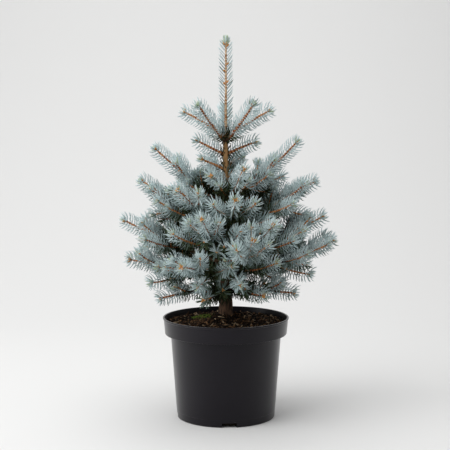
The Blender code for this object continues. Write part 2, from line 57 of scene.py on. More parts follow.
class Look:                            # a material, with one way to add any node to it
    def __init__(self, name, **values):
        self.material = bpy.data.materials.new(name)
        self.material.use_nodes = True
        self.tree = self.material.node_tree
        self.shader = self.tree.nodes["Principled BSDF"]
        for key, value in values.items():
            self.feed(self.shader, key.replace("_", " "), value)

    def feed(self, node, key, value):
        socket = node.inputs[key]
        if isinstance(value, Wire):
            self.tree.links.new(value.socket, socket)
        elif socket.type == "RGBA":
            socket.default_value = (*value, 1)
        else:
            socket.default_value = value

    def setStops(self, elements, stops):
        elements.remove(elements[1])
        for number, (place, shade) in enumerate(stops):
            stop = elements[0] if number == 0 else elements.new(place)
            stop.position = place
            stop.color = (*shade, 1)

    def node(self, kind, settings, values, out=0):
        made = self.tree.nodes.new("ShaderNode" + kind)
        for key, value in settings.items():
            if key == "stops":
                self.setStops(made.color_ramp.elements, value)
            else:
                setattr(made, key, value)
        for key, value in values.items():
            self.feed(made, key, value)
        return Wire(self, made.outputs[out])

    def maths(self, operation, first, second):
        return self.node("Math", {"operation": operation}, {0: first, 1: second})

    def grain(self, scale, detail, stretch=(1, 1, 1), rough=0.55):       # noise that stays on the object
        place = self.node("TexCoord", {}, {}, out="Object")
        place = self.node("VectorMath", {"operation": "MULTIPLY"}, {0: place, 1: stretch})
        return self.node("TexNoise", {}, {"Vector": place, "Scale": scale,
                                          "Detail": detail, "Roughness": rough})

    def mix(self, share, first, second):                    # 6, 7 and 2 are the node's colour sockets
        return self.node("Mix", {"data_type": "RGBA"}, {0: share, 6: first, 7: second}, out=2)

    def paint(self, value, *stops):    # base colour by a ramp
        self.feed(self.shader, "Base Color", self.node("ValToRGB", {"stops": stops}, {0: value}))

    def relief(self, height, strength, distance):
        values = {"Height": height, "Strength": strength, "Distance": distance}
        self.feed(self.shader, "Normal", self.node("Bump", {}, values))


def unit(ways):
    return ways / np.linalg.norm(ways, axis=-1, keepdims=True)


def rows(points):                      # an array with a row for each point
    return np.array([tuple(point) for point in points])


def swung(first, second, angles):      # directions that turn from the first towards the second
    return np.cos(angles)[:, None] * first + np.sin(angles)[:, None] * second


class Heap:                            # points and triangles of many small things, kept as arrays
    def __init__(self):
        self.points = []
        self.faces = []
        self.tones = []
        self.count = 0

    def add(self, points, faces, tones):
        self.points.append(points)
        self.faces.append(faces + self.count)
        self.tones.append(np.broadcast_to(tones, len(faces)))
        self.count += len(points)

    def triangles(self):
        return sum(len(faces) for faces in self.faces)


def linked(name, data):                # a new object in the scene
    made = bpy.data.objects.new(name, data)
    bpy.context.scene.collection.objects.link(made)
    return made


def makePiece(name, heap, looks, replaced, smooth):
    points = np.concatenate(heap.points).astype(np.float32)
    faces = np.concatenate(heap.faces).astype(np.int32)
    mesh = bpy.data.meshes.new(name)
    mesh.vertices.add(len(points))
    mesh.vertices.foreach_set("co", points.ravel())
    mesh.loops.add(faces.size)
    mesh.loops.foreach_set("vertex_index", faces.ravel())
    mesh.polygons.add(len(faces))
    mesh.polygons.foreach_set("loop_start", np.arange(0, faces.size, 3, dtype=np.int32))
    for look in looks:
        mesh.materials.append(look.material)
    mesh.polygons.foreach_set("material_index", np.concatenate(heap.tones).astype(np.int32))
    mesh.update(calc_edges=True)
    if smooth:
        mesh.shade_smooth()
    piece = linked(name, mesh)
    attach(piece, "root")
    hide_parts(*replaced)


def tubeFaces(rings, sides):           # a tube's triangles, and the ring that each one starts from
    ring, side = np.meshgrid(np.arange(rings - 1), np.arange(sides), indexing="ij")
    ring, side = ring.ravel(), side.ravel()
    here, there = ring * sides + side, ring * sides + (side + 1) % sides
    walls = np.concatenate([np.stack([here, there, there + sides], 1),
                            np.stack([here, there + sides, here + sides], 1)])
    around = np.arange(sides)
    after = (around + 1) % sides
    last = (rings - 1) * sides
    foot = np.stack([after, around, np.full(sides, rings * sides)], 1)
    head = np.stack([last + around, last + after, np.full(sides, rings * sides + 1)], 1)
    bands = np.concatenate([ring, ring, np.zeros(sides, int), np.full(sides, rings - 2)])
    return np.concatenate([walls, foot, head]), bands


uprightAxis = 0.985                    # rise of an axis that is taken as upright


def frames(centres):                   # along, sideways and top directions at each point of an axis
    along = unit(np.gradient(centres, axis=0))
    whole = unit(centres[-1] - centres[0])
    upright = abs(whole[2]) > uprightAxis
    flank = unit(np.cross((0, -1, 0) if upright else (0, 0, 1), along))
    return along, flank, np.cross(along, flank)


def ringAngles(sides):
    return np.arange(sides) * math.tau / sides


def tube(centres, radii):              # radii: a row for each ring; the last two points close the ends
    _, flank, top = frames(centres)
    around = swung(flank[:, None], top[:, None], ringAngles(radii.shape[1]))
    skin = centres[:, None] + radii[..., None] * around
    return np.concatenate([skin.reshape(-1, 3), centres[:1], centres[-1:]])


# sizes that several pieces share, in metres
pot = dict(height=0.2235, rim=0.140, bandHeight=0.0365, bandFoot=0.1355, bodyTop=0.1228,
           base=0.1092, wall=0.0022, floor=0.003, lip=0.003)
soil = dict(edge=0.2115, top=0.2240, patch=0.030, shoulder=0.2175, shoulderAt=0.075)
trunk = dict(top=0.631, foot=0.0152, tip=0.0045, flare=0.005, flareHeight=0.014, lobes=5,
             sway=0.0016, swayTurns=(5.0, 4.0))
leaderTop = 0.841

# growth: the rule that sets where every stem runs
stemSizes = dict(bough=0.0043, boughTip=0.0032, collar=0.0008, stem=0.0032, tip=0.0017)
growth = dict(seed=41, step=0.004, tuft=0.015,               # tuft: the needles that stand past a tip
              bend=0.5, arcSteps=40, leaderSteps=50, limbClear=0.0060, cutBack=3,
              turn=math.radians(14), curl=math.radians(22))

# rise: degrees at the root; bough: the share of a branch that is bare bough
tiers = {                              # branches: azimuth in degrees, reach, tip height, root height
    "top": dict(rise=38, bough=0.0, branches=(
        (0, 0.110, 0.687, 0.618), (92, 0.100, 0.696, 0.611), (180, 0.104, 0.683, 0.620),
        (229, 0.098, 0.702, 0.611), (311, 0.099, 0.704, 0.612))),
    "upper": dict(rise=26, bough=0.0, branches=(
        (3, 0.080, 0.616, 0.584), (62, 0.088, 0.576, 0.554), (178, 0.077, 0.622, 0.583),
        (200, 0.070, 0.579, 0.550), (243, 0.086, 0.545, 0.510))),
    "high": dict(rise=36, bough=0.0, branches=(
        (0, 0.166, 0.623, 0.474), (36, 0.172, 0.534, 0.455), (106, 0.150, 0.574, 0.476),
        (180, 0.165, 0.607, 0.468), (288, 0.132, 0.567, 0.464))),
    "middle": dict(rise=38, bough=0.30, branches=(
        (0, 0.209, 0.532, 0.397), (52, 0.200, 0.522, 0.386), (112, 0.196, 0.528, 0.398),
        (180, 0.197, 0.535, 0.388), (232, 0.176, 0.523, 0.398), (277, 0.176, 0.503, 0.385))),
    "low": dict(rise=20, bough=0.34, branches=(
        (0, 0.227, 0.455, 0.350), (72, 0.226, 0.440, 0.340), (130, 0.230, 0.448, 0.351),
        (180, 0.238, 0.446, 0.340), (255, 0.205, 0.468, 0.352), (299, 0.212, 0.454, 0.341))),
    "lowest": dict(rise=12, bough=0.34, branches=(
        (0, 0.250, 0.402, 0.316), (48, 0.236, 0.372, 0.306), (104, 0.228, 0.362, 0.317),
        (180, 0.228, 0.355, 0.306), (243, 0.216, 0.362, 0.316), (286, 0.214, 0.426, 0.307))),
    "skirt": dict(rise=-4, bough=0.0, branches=(
        (-4, 0.166, 0.277, 0.290), (88, 0.160, 0.272, 0.284), (183, 0.160, 0.262, 0.288),
        (245, 0.128, 0.276, 0.284), (311, 0.138, 0.286, 0.289))),
}


def heading(azimuth, rise):
    return Vector((math.cos(rise) * math.cos(azimuth), math.cos(rise) * math.sin(azimuth), math.sin(rise)))


def trunkShare(height):
    return (height - soil["top"]) / (trunk["top"] - soil["top"])


def trunkRadius(height):
    return trunk["foot"] + (trunk["tip"] - trunk["foot"]) * trunkShare(height)


def trunkPoint(height):
    share = trunkShare(height)
    sway = trunk["sway"] * math.sin(math.pi * share)
    across, back = trunk["swayTurns"]
    return Vector((sway * math.sin(across * share), sway * math.cos(back * share), height))


def boughRadius(share):
    return stemSizes["bough"] + (stemSizes["boughTip"] - stemSizes["bough"]) * share


def walk(path, step):                  # points at even steps along a path
    lengths = [0.0]
    for here, there in zip(path, path[1:]):
        lengths.append(lengths[-1] + (there - here).length)
    count = max(1, round(lengths[-1] / step))
    points, leg = [], 0
    for number in range(count + 1):
        goal = lengths[-1] * number / count
        while leg < len(path) - 2 and lengths[leg + 1] < goal:
            leg += 1
        share = (goal - lengths[leg]) / (lengths[leg + 1] - lengths[leg])
        points.append(path[leg].lerp(path[leg + 1], share))
    return points


def arcOf(start, bend, end):
    shares = [number / growth["arcSteps"] for number in range(growth["arcSteps"] + 1)]
    return [start.lerp(bend, share).lerp(bend.lerp(end, share), share) for share in shares]


def branchPath(azimuth, root, rise, reach, tip):
    start = trunkPoint(root)
    out = heading(azimuth, 0.0)
    end = Vector((out.x * reach, out.y * reach, tip))
    bend = start + heading(azimuth, rise) * (end - start).length * growth["bend"]
    arc = arcOf(start, bend, end)
    end -= (arc[-1] - arc[-2]).normalized() * growth["tuft"]
    return walk(arcOf(start, bend, end), growth["step"])


def twigPath(start, azimuth, rise, length, turn):
    count = max(2, round(length / growth["step"]))
    points = [start.copy()]
    for number in range(count):
        share = number / count
        ahead = heading(azimuth - turn * growth["turn"] * share, rise + growth["curl"] * share)
        points.append(points[-1] + ahead * length / count)
    return points


class Stem:                            # one stem: its points, its radius at the root, its order
    def __init__(self, points, radius, order):
        self.points = points
        self.radius = radius
        self.order = order             # 0 a branch, 1 a side twig, 2 a finer twig

    def settle(self):                  # its axis as an array, with the directions along it
        self.axis = rows(self.points)
        self.length = (len(self.axis) - 1) * growth["step"]
        self.along, self.flank, self.top = frames(self.axis)

    def girth(self, share):            # its radius at a share of its length
        return self.radius + (stemSizes["tip"] - self.radius) * share


class Mass:                            # the foliage at the end of one bough, or on the trunk
    def __init__(self, name, tier, azimuth, branch, entry):
        self.name = name
        self.tier = tier
        self.azimuth = azimuth
        self.branch = branch
        self.entry = entry             # index where the bough ends and the mass begins
        self.random = random.Random(f"{growth['seed']} {name}")
        self.stems = [Stem(branch[entry:], stemSizes["stem"], 0)]


def planMasses():
    planned = []
    for tier, spec in tiers.items():
        for number, (degrees, reach, tip, root) in enumerate(spec["branches"], 1):
            azimuth = math.radians(degrees)
            branch = branchPath(azimuth, root, math.radians(spec["rise"]), reach, tip)
            entry = round(spec["bough"] * (len(branch) - 1))
            planned.append(Mass(f"{tier}_foliage_{number}", tier, azimuth, branch, entry))
    foot, head = Vector((0, 0, trunk["top"])), Vector((0, 0, leaderTop - growth["tuft"]))
    steps = growth["leaderSteps"]
    leader = [foot.lerp(head, number / steps) for number in range(steps + 1)]
    return planned + [Mass("leader_foliage", "leader", 0.0, leader, 0)]


def limbPoints(masses):                # points along the trunk and boughs, with the limb's radius there
    points, radii = [], []
    for height in np.arange(soil["top"], trunk["top"], growth["step"]):
        points.append(trunkPoint(height))
        radii.append(trunkRadius(height))
    for mass in masses:
        for number in range(mass.entry + 1):
            points.append(mass.branch[number])
            radii.append(boughRadius(number / mass.entry if mass.entry else 1.0))
    return rows(points), np.array(radii)


def distances(points, others):         # from each point to each of the others
    return np.sqrt(((points[:, None, :] - others[None, :, :]) ** 2).sum(axis=2))


def addTwig(mass, masses, limbs, points, rule):              # cut short where it would meet another stem
    array = rows(points)
    own = rows([point for stem in mass.stems for point in stem.points])
    others = rows([point for group in masses if group is not mass
                   for stem in group.stems for point in stem.points])
    atRoot = np.arange(len(array)) * growth["step"] <= rule["rootRun"]
    free = distances(array, others).min(axis=1) > rule["others"]
    free &= ((distances(array, limbs[0]) - limbs[1]).min(axis=1) > growth["limbClear"]) | atRoot
    free &= (distances(array, own).min(axis=1) > rule["own"]) | atRoot
    stop = len(points) if free.all() else int(np.argmin(free)) - growth["cutBack"]
    if stop * growth["step"] >= rule["shortest"]:
        mass.stems.append(Stem(points[:stop], rule["radius"], rule["order"]))


sideRule = dict(order=1, radius=0.0026, shortest=0.034, others=0.0105, own=0.0085, rootRun=0.020,
                backSpread=(0.94, 1.06), lengthSpread=(0.90, 1.10), degreeSpread=6, pastBough=3)
sideTwigs = {                          # distance back from the tip, length, spread and rise, how many
    "high": ((0.126, 0.062, 56, 28, 2), (0.168, 0.078, 42, 20, 2), (0.152, 0.044, 12, 62, 1)),
    "middle": ((0.098, 0.072, 46, 20, 2), (0.150, 0.104, 52, 8, 2), (0.118, 0.066, 22, -34, 1),
               (0.140, 0.050, 20, 56, 1)),
    "low": ((0.104, 0.070, 44, 26, 2), (0.150, 0.112, 52, 7, 2), (0.136, 0.060, 22, -14, 1)),
    "lowest": ((0.086, 0.066, 42, 15, 2), (0.150, 0.104, 54, 1, 2), (0.158, 0.080, 20, -24, 1)),
    "skirt": ((0.086, 0.050, 44, 8, 2),),
}


def growSide(masses, limbs):           # side twigs, the first of every mass, then the second, and so on
    slack = sideRule["degreeSpread"]
    for rank in range(max(len(twigs) for twigs in sideTwigs.values())):
        for mass in masses:
            twigs = sideTwigs.get(mass.tier, ())
            if rank >= len(twigs):
                continue
            back, length, spread, rise, count = twigs[rank]
            back *= mass.random.uniform(*sideRule["backSpread"])
            number = len(mass.branch) - 1 - round((back - growth["tuft"]) / growth["step"])
            start = mass.branch[max(number, mass.entry + sideRule["pastBough"])]
            sides = (1, -1) if count == 2 else (mass.random.choice((1, -1)),)
            for side in sides:
                turn = math.radians(spread + mass.random.uniform(-slack, slack)) * side
                ownRise = math.radians(rise + mass.random.uniform(-slack, slack))
                ownLength = length * mass.random.uniform(*sideRule["lengthSpread"])
                path = twigPath(start, mass.azimuth + turn, ownRise, ownLength, side)
                addTwig(mass, masses, limbs, path, sideRule)


# finer twigs: the same rule, carried on along every branch and side twig
finer = dict(
    order=2, radius=0.0019, shortest=0.020, others=0.0085, own=0.0070, rootRun=0.014,
    spacing=0.026, spacingSpread=(0.8, 1.3), start=0.012,    # along the parent
    bare=(0.112, 0.062), highBare=0.140,                     # behind a tip, by the parent's order
    turns=(38, 66), lifts=(-24, 4, 12, 44), liftSpread=8,    # degrees
    follow=0.5, room=0.62, lengthSpread=(0.75, 1.15),
    length={"high": 0.050, "middle": 0.056, "low": 0.060, "lowest": 0.058, "skirt": 0.040},
)


def growFiner(masses, limbs):
    slack = finer["liftSpread"]
    for mass in masses:
        if mass.tier not in finer["length"]:
            continue
        for parent in list(mass.stems):
            length = len(parent.points) * growth["step"]
            bare = finer["bare"][parent.order]
            if mass.tier == "high" and parent.order == 0:
                bare = finer["highBare"]
            spot, side = finer["start"], mass.random.choice((1, -1))
            while spot < length - bare:
                number = round(spot / growth["step"])
                ahead = parent.points[number + 1] - parent.points[number]
                azimuth, rise = math.atan2(ahead.y, ahead.x), math.asin(ahead.normalized().z)
                turn = math.radians(mass.random.uniform(*finer["turns"])) * side
                lift = math.radians(mass.random.choice(finer["lifts"]) + mass.random.uniform(-slack, slack))
                size = finer["length"][mass.tier] * mass.random.uniform(*finer["lengthSpread"])
                size = min(size, (length - spot) * finer["room"])
                rise = finer["follow"] * rise + lift
                path = twigPath(parent.points[number], azimuth + turn, rise, size, side)
                addTwig(mass, masses, limbs, path, finer)
                side = -side
                spot += finer["spacing"] * mass.random.uniform(*finer["spacingSpread"])


masses = planMasses()
limbs = limbPoints(masses)
growSide(masses, limbs)
sources = sum(len(mass.stems) for mass in masses)
growFiner(masses, limbs)
allStems = [stem for mass in masses for stem in mass.stems]
for stem in allStems:
    stem.settle()
stemLength = sum(stem.length for stem in allStems)
print("stems grown:", sources, "by the first rule,", len(allStems), "in all,", round(stemLength, 1), "m")


# needles: every size is in metres, width and thickness are half widths
needle = dict(
    length=0.0218, width=0.00116, thickness=0.00086,
    rings=((0.0, 0.70), (0.42, 1.0), (0.78, 0.86)),          # share of the length, share of the width
    widthSpread=(0.90, 1.10), lengthSpread=(0.93, 1.05), leaderSlim=1.10,
    upperLength=0.20, lowerLength=0.08, uprightLength=0.12,  # longer above and on upright stems
    rootRun=0.02, rootLength=0.6, sunk=0.7, sickle=0.15, leaderSickle=0.01, bowBack=0.6,
)
coilRule = dict(                       # they climb the stem in one close coil
    pitch=0.0057, perTurn=8, oldPitch=0.0070, leaderPitch=0.0081, leaderTurn=6,
    start=0.002, least=0.001, pastYear=0.02, spotSpread=0.00025, turnSpread=0.07,
)
parting = dict(                        # bare lines along a stem, as angles from its top side
    flank=math.radians(88), side=math.radians(24), under=math.radians(14), top=math.radians(19),
    upright=math.radians(32), uprightAxis=0.97, fromTip=0.010,
    sideSpread=0.16, topSpread=0.20, sideLoss=0.5, topLoss=0.3,
)
leaning = dict(                        # how far they lean towards the tip
    flank=math.radians(33), upper=math.radians(-5), lower=math.radians(-24), upright=math.radians(15),
    spread=math.radians(2.5), tip=0.42, tipRun=0.014, lift=0.05, leastAhead=0.05,
)
tipTuft = dict(count=22, slim=0.80, run=0.006, length=0.0140, lengthSpread=(0.85, 1.15),
               lean=math.radians(56), leanSpread=0.24, lift=0.3)
needleTones = {                        # plain colours, dealt out by spray; the darker ones stand for older needles and also for painted shade inside the crown and under stems
    "fresh": (0.410, 0.490, 0.345), "frost": (0.575, 0.685, 0.695), "silver": (0.448, 0.547, 0.552),
    "blue": (0.285, 0.365, 0.368), "slate": (0.130, 0.181, 0.150), "green": (0.050, 0.075, 0.034),
    "old": (0.017, 0.022, 0.007),
}
needleGloss = {"green": 0.2, "old": 0.1}
needleLooks = [Look("needle_" + name, Base_Color=colour, Roughness=0.60,
                    Specular_IOR_Level=needleGloss.get(name, 0.35)) for name, colour in needleTones.items()]
toneNumber = {name: number for number, name in enumerate(needleTones)}
growthYear = 0.105                     # length of one year's shoot

toneRule = dict(                       # how pale a spray is, about 0 to 1; lower and trunkShade take off painted shade, inner and byOrder take off painted shade along with the real darker colour of older needles
    young=1.02, old=0.55, oldRun=0.045, oldFrom=0.085,
    oldFromBy={"leader": 0.185, "upper": 0.055, "high": 0.115, "middle": 0.100},
    inner=1.60, innerFrom=0.69, innerBy={"middle": 0.85, "low": 1.25, "lowest": 1.30, "skirt": 1.20},
    leastReach=0.02, highFrom=0.51, lower=0.17, byOrder=(0.0, 0.02, 0.36),
    byTier={"skirt": 0.15, "lowest": 0.07, "leader": 0.20}, trunkNear=0.018, trunkShade=0.7,
    spread=0.075, run=0.014, underside=-0.2, strays=0.16, freshTips=0.35,
    steps=((0.94, "frost"), (0.76, "silver"), (0.60, "blue"), (0.46, "slate"), (0.30, "green")),
)


def crownRadius(height):               # how far out the tips are at a height
    knots = sorted((tip, reach) for spec in tiers.values() for _, reach, tip, _ in spec["branches"])
    heights, reaches = zip(*knots)
    return max(toneRule["leastReach"], float(np.interp(height, heights, reaches)))


def sprayTone(stem, tier, point, back, below, rng):          # paler outside, above and near a tip; the darkening under a stem and near the trunk is painted shade, and inside the crown it is painted shade along with the real darker colour of older needles
    away = math.hypot(point[0], point[1])
    oldFrom = toneRule["oldFromBy"].get(tier, toneRule["oldFrom"])
    value = toneRule["young"] - toneRule["byOrder"][stem.order] - toneRule["byTier"].get(tier, 0.0)
    value -= toneRule["old"] * min(max((back - oldFrom) / toneRule["oldRun"], 0.0), 1.0)
    # painted shade: needles under a stem are darker
    value -= toneRule["lower"] * below
    # darker towards the middle of the crown: painted shade, along with the real darker colour of older inner
    # needles
    if point[2] < toneRule["highFrom"]:
        inner = toneRule["inner"] * toneRule["innerBy"].get(tier, 1.0)
        value -= inner * max(0.0, toneRule["innerFrom"] - away / crownRadius(point[2]))
    # painted shade near the trunk
    if tier != "leader":
        value -= toneRule["trunkShade"] * max(0.0, 1 - away / toneRule["trunkNear"])
    value += rng.normal(0, toneRule["spread"])
    return next((toneNumber[name] for limit, name in toneRule["steps"] if value > limit), toneNumber["old"])


def dealTones(stem, tier, spots, inTuft, above, centre, back, rng):       # one for each spray, with strays
    tones, sprays = [], {}
    for spot, tufted, high, point, rest in zip(spots, inTuft, above, centre, back):
        # below: the needle sits under its stem, which gets painted shade
        below = high < toneRule["underside"]
        spray = (int(spot / toneRule["run"]), below)
        if spray not in sprays:
            sprays[spray] = sprayTone(stem, tier, point, rest, below, rng)
        tone = sprays[spray]
        chance = rng.random()
        if tufted and tone <= toneNumber["blue"]:
            tone = toneNumber["fresh"] if chance < toneRule["freshTips"] else toneNumber["frost"]
        elif chance < toneRule["strays"]:
            tone = max(tone - 1, toneNumber["frost"])
        elif chance > 1 - toneRule["strays"]:
            tone = min(tone + 1, toneNumber["old"])
        tones.append(tone)
    return tones


def coil(length, tier, rng):           # where along the stem, and how far round it, each needle sits
    leader = tier == "leader"
    count = coilRule["leaderTurn"] if leader else coilRule["perTurn"]
    spots, turns = [], []
    spot, turn = coilRule["start"], 0.0 if leader else math.pi / count
    while spot < length:
        young = length - spot < growthYear + coilRule["pastYear"]
        pitch = coilRule["leaderPitch"] if leader else coilRule["pitch"] if young else coilRule["oldPitch"]
        spots.append(spot)
        turns.append(turn)
        spot += pitch / count
        turn += math.tau / count
    spots = np.array(spots) + rng.normal(0, coilRule["spotSpread"], len(spots))
    turns = np.array(turns) + rng.normal(0, coilRule["turnSpread"], len(turns))
    return np.clip(spots, coilRule["least"], length), (turns + math.pi) % math.tau - math.pi


def partNeedles(turns, back, upright, rng):                  # turns: angles round the stem, from its top side
    side, inner = abs(turns), back > parting["fromTip"]
    if upright:                        # parted along the front and the back
        facing = abs((turns + math.pi / 2) % math.pi - math.pi / 2)
        return turns, (facing > parting["upright"]) | ~inner
    shift = side - parting["flank"]
    parted = (abs(shift) < parting["side"]) & inner
    moved = parting["side"] + rng.uniform(0, parting["sideSpread"], len(turns))
    moved = parting["flank"] + np.sign(shift) * moved
    turns = np.where(parted, moved * np.sign(turns), turns)
    keep = ~(parted & (rng.random(len(turns)) < parting["sideLoss"]))
    keep &= ~((side > math.pi - parting["under"]) & inner)
    ridge = (side < parting["top"]) & inner
    moved = parting["top"] + rng.uniform(0, parting["topSpread"], len(turns))
    turns = np.where(ridge, np.where(turns < 0, -moved, moved), turns)
    return turns, keep & ~(ridge & (rng.random(len(turns)) < parting["topLoss"]))


def needlePattern(sides):              # the triangles of one needle: its rings, then its point
    pattern, last = [], len(needle["rings"]) - 1
    for ring in range(last + 1):
        for corner in range(sides):
            here, after = ring * sides + corner, ring * sides + (corner + 1) % sides
            if ring < last:
                pattern += [(here, after, after + sides), (here, after + sides, here + sides)]
            else:
                pattern.append((here, after, last * sides + sides))
    return np.array(pattern)


def needleMesh(foot, way, size, bow, ahead, slim, rng):      # four-sided, fullest near the middle
    across = unit(np.cross(way, ahead))
    over = np.cross(across, way)
    wide = slim * needle["width"] * rng.uniform(*needle["widthSpread"], len(foot))[:, None]
    thick = wide * needle["thickness"] / needle["width"]
    corners = [across * wide, over * thick, -across * wide, -over * thick]
    points = []
    for share, girth in needle["rings"]:
        centre = foot + way * (size * share)[:, None] + bow * 4 * share * (1 - share)
        points += [centre + corner * girth for corner in corners]
    points.append(foot + way * size[:, None])
    pattern = needlePattern(len(corners))
    faces = np.arange(len(foot))[:, None, None] * len(points) + pattern[None]
    return np.stack(points, 1).reshape(-1, 3), faces.reshape(-1, 3), len(pattern)


def needleWays(radial, ahead, level, above, back, inTuft, rng):
    lean = leaning["flank"] + leaning["upright"] * (1 - level) ** 2
    lean += leaning["upper"] * np.clip(above, 0, 1) + leaning["lower"] * np.clip(-above, 0, 1)
    folded = np.clip(1 - back / leaning["tipRun"], 0, 1) * leaning["tip"]
    lean += rng.normal(0, leaning["spread"], len(back)) + folded
    lean = np.where(inTuft, tipTuft["lean"] + rng.normal(0, tipTuft["leanSpread"], len(back)), lean)
    way = swung(radial, ahead, lean)
    way[:, 2] += leaning["lift"] * level * np.where(inTuft, tipTuft["lift"], 1.0)
    return unit(way)


def needleSizes(way, ahead, level, above, spots, back, inTuft, rng):
    size = needle["length"] * rng.uniform(*needle["lengthSpread"], len(spots))
    size *= 1 + np.where(above > 0, needle["upperLength"], needle["lowerLength"]) * above
    size *= 1 + needle["uprightLength"] * (1 - level) ** 2
    size = np.where(inTuft, tipTuft["length"] * rng.uniform(*tipTuft["lengthSpread"], len(spots)), size)
    size *= np.clip(spots / needle["rootRun"], needle["rootLength"], 1.0)
    forward = np.maximum((way * ahead).sum(1), leaning["leastAhead"])
    return np.minimum(size, (growth["tuft"] + back) / forward)


def placeNeedles(heap, stem, tier, rng):
    length, axis = stem.length, stem.axis
    upright = abs(stem.along[len(axis) // 2][2]) > parting["uprightAxis"]
    spots, turns = coil(length, tier, rng)
    turns, keep = partNeedles(turns, length - spots, upright, rng)
    turns, spots = turns[keep], spots[keep]
    extra = tipTuft["count"] if stem.order < 2 else tipTuft["count"] // 2
    inTuft = np.arange(len(spots) + extra) >= len(spots)
    turns = np.concatenate([turns, rng.uniform(-math.pi, math.pi, extra)])
    spots = np.concatenate([spots, length - rng.uniform(0, tipTuft["run"], extra)])
    back = length - spots

    # where each one sits: its place on the axis, and the way out from it
    number = spots / length * (len(axis) - 1)
    low = np.minimum(number.astype(int), len(axis) - 2)
    share = (number - low)[:, None]
    centre = axis[low] * (1 - share) + axis[low + 1] * share
    ahead = unit(stem.along[low] * (1 - share) + stem.along[low + 1] * share)
    radial = swung(stem.top[low], stem.flank[low], turns)
    radial = unit(radial - ahead * (radial * ahead).sum(1, keepdims=True))
    level = 1 - abs(ahead[:, 2])
    above = np.cos(turns) * np.minimum(level * 2, 1)         # 1 on the top side, -1 below

    # which way it points, and how long, bowed and wide it is
    way = needleWays(radial, ahead, level, above, back, inTuft, rng)
    size = needleSizes(way, ahead, level, above, spots, back, inTuft, rng)
    foot = centre + radial * (stem.girth(spots / length) * needle["sunk"])[:, None]
    sickle = needle["leaderSickle"] if tier == "leader" else needle["sickle"]
    bow = unit(radial - ahead * needle["bowBack"]) * (size * sickle)[:, None]
    slim = needle["leaderSlim"] if tier == "leader" else 1.0
    slim = slim * np.where(inTuft, tipTuft["slim"], 1.0)[:, None]
    points, faces, each = needleMesh(foot, way, size, bow, ahead, slim, rng)
    heap.add(points, faces, np.repeat(dealTones(stem, tier, spots, inTuft, above, centre, back, rng), each))


# stems, with the pegs that the needles sit on
stemTones = {                          # colour, roughness, specular level
    "young_stem": ((0.500, 0.215, 0.078), 0.70, 0.3),
    "stem_peg": ((0.210, 0.055, 0.018), 0.75, 0.3),
    "old_stem": ((0.070, 0.036, 0.020), 0.85, 0.2),
    "leader_stem": ((0.600, 0.410, 0.255), 0.70, 0.3),
    "leader_peg": ((0.340, 0.160, 0.065), 0.75, 0.3),
}
stemLooks = [Look(name, Base_Color=colour, Roughness=rough, Specular_IOR_Level=gloss)
             for name, (colour, rough, gloss) in stemTones.items()]
youngStem, stemPeg, oldStem, leaderStem, leaderPeg = range(len(stemLooks))
stemMesh = dict(
    step=0.00175, sides=6, slim=(1.18, 1.02, 0.92),          # slim: by order, beside the solids' stems
    leaderSlim=0.90, leaderTaper=0.7, wobble=(0.90, 1.10),
    cycle=4, pegRings=2, swell=0.20, beaded=0.5, beadedPegs=0.9, otherPegs=0.25, leaderPegs=0.35,
    yearSpread=0.006, years={"skirt": 0.30, "lowest": 0.70},                # low down, young wood is short
)
beadedMasses = ("top_foliage_4", "top_foliage_5", "high_foliage_4", "high_foliage_1", "middle_foliage_4")


def placeStem(heap, stem, mass, rng):
    centres = rows(walk(stem.points, stemMesh["step"]))
    share = np.linspace(0, 1, len(centres))
    leader = mass.tier == "leader"
    slim = stemMesh["leaderSlim"] if leader else stemMesh["slim"][stem.order]
    taper = stemMesh["leaderTaper"] if leader else 1.0
    phase = (np.arange(len(centres)) + rng.integers(0, stemMesh["cycle"])) % stemMesh["cycle"]
    peg = phase < stemMesh["pegRings"]                       # some rings of each cycle swell into a peg
    radii = slim * stem.girth(share * taper)
    radii = radii * np.where(peg, 1 + stemMesh["swell"], 1 - stemMesh["swell"] / 2)
    wobble = rng.uniform(*stemMesh["wobble"], (len(centres), stemMesh["sides"]))
    faces, bands = tubeFaces(len(centres), stemMesh["sides"])
    beaded = rng.random() < stemMesh["beaded"] or mass.name in beadedMasses and stem.order == 0
    pegs = stemMesh["beadedPegs"] if beaded else stemMesh["otherPegs"]
    tone = np.where(peg & (rng.random(len(centres)) < pegs), stemPeg, youngStem)
    if leader:
        tone = np.where(rng.random(len(centres)) < stemMesh["leaderPegs"], leaderPeg, leaderStem)
    else:
        year = growthYear * stemMesh["years"].get(mass.tier, 1.0) + rng.normal(0, stemMesh["yearSpread"])
        tone = np.where(stem.length * (1 - share) > year, oldStem, tone)
    heap.add(tube(centres, radii[:, None] * wobble), faces, tone[bands])


budLooks = [
    Look("bud_scale", Base_Color=(0.470, 0.180, 0.045), Roughness=0.55),
    Look("bud_tip", Base_Color=(0.580, 0.290, 0.085), Roughness=0.55),
]
bud = dict(
    length=0.0062, radius=0.0019, sides=7, profile=(0.45, 0.85, 1.0, 0.88, 0.55, 0.12), tipRings=4,
    scaleDepth=0.13, scaleTurn=2.7, scaleClimb=2.2,
    counts=(4, 3, 2), sizes=(1.25, 0.85, 0.6), endSizes=(0.9, 0.75, 0.6),   # by the stem's order
    sizeSpread=(0.8, 1.1), turnSpread=0.3, outward=0.75, forward=0.66, back=0.002, out=0.0008, endBack=0.001,
)
leaderBud = dict(rise=0.65, sizes=(1.25, 1.45), out=0.001,   # places: distance back from the tip, azimuth
                 places=((0.004, 200), (0.005, -20), (0.048, -15), (0.064, 196), (0.086, -30), (0.089, 205)))


def placeBud(heap, foot, way, size):
    count = len(bud["profile"])
    centres = foot + way * np.linspace(0, 1, count)[:, None] * bud["length"] * size
    shape = np.array(bud["profile"])[:, None] * bud["radius"] * size
    waves = np.arange(bud["sides"]) * bud["scaleTurn"] + np.arange(count)[:, None] * bud["scaleClimb"]
    faces, bands = tubeFaces(count, bud["sides"])
    heap.add(tube(centres, shape * (1 + bud["scaleDepth"] * np.cos(waves))), faces,
             np.where(bands > count - bud["tipRings"], 1, 0))


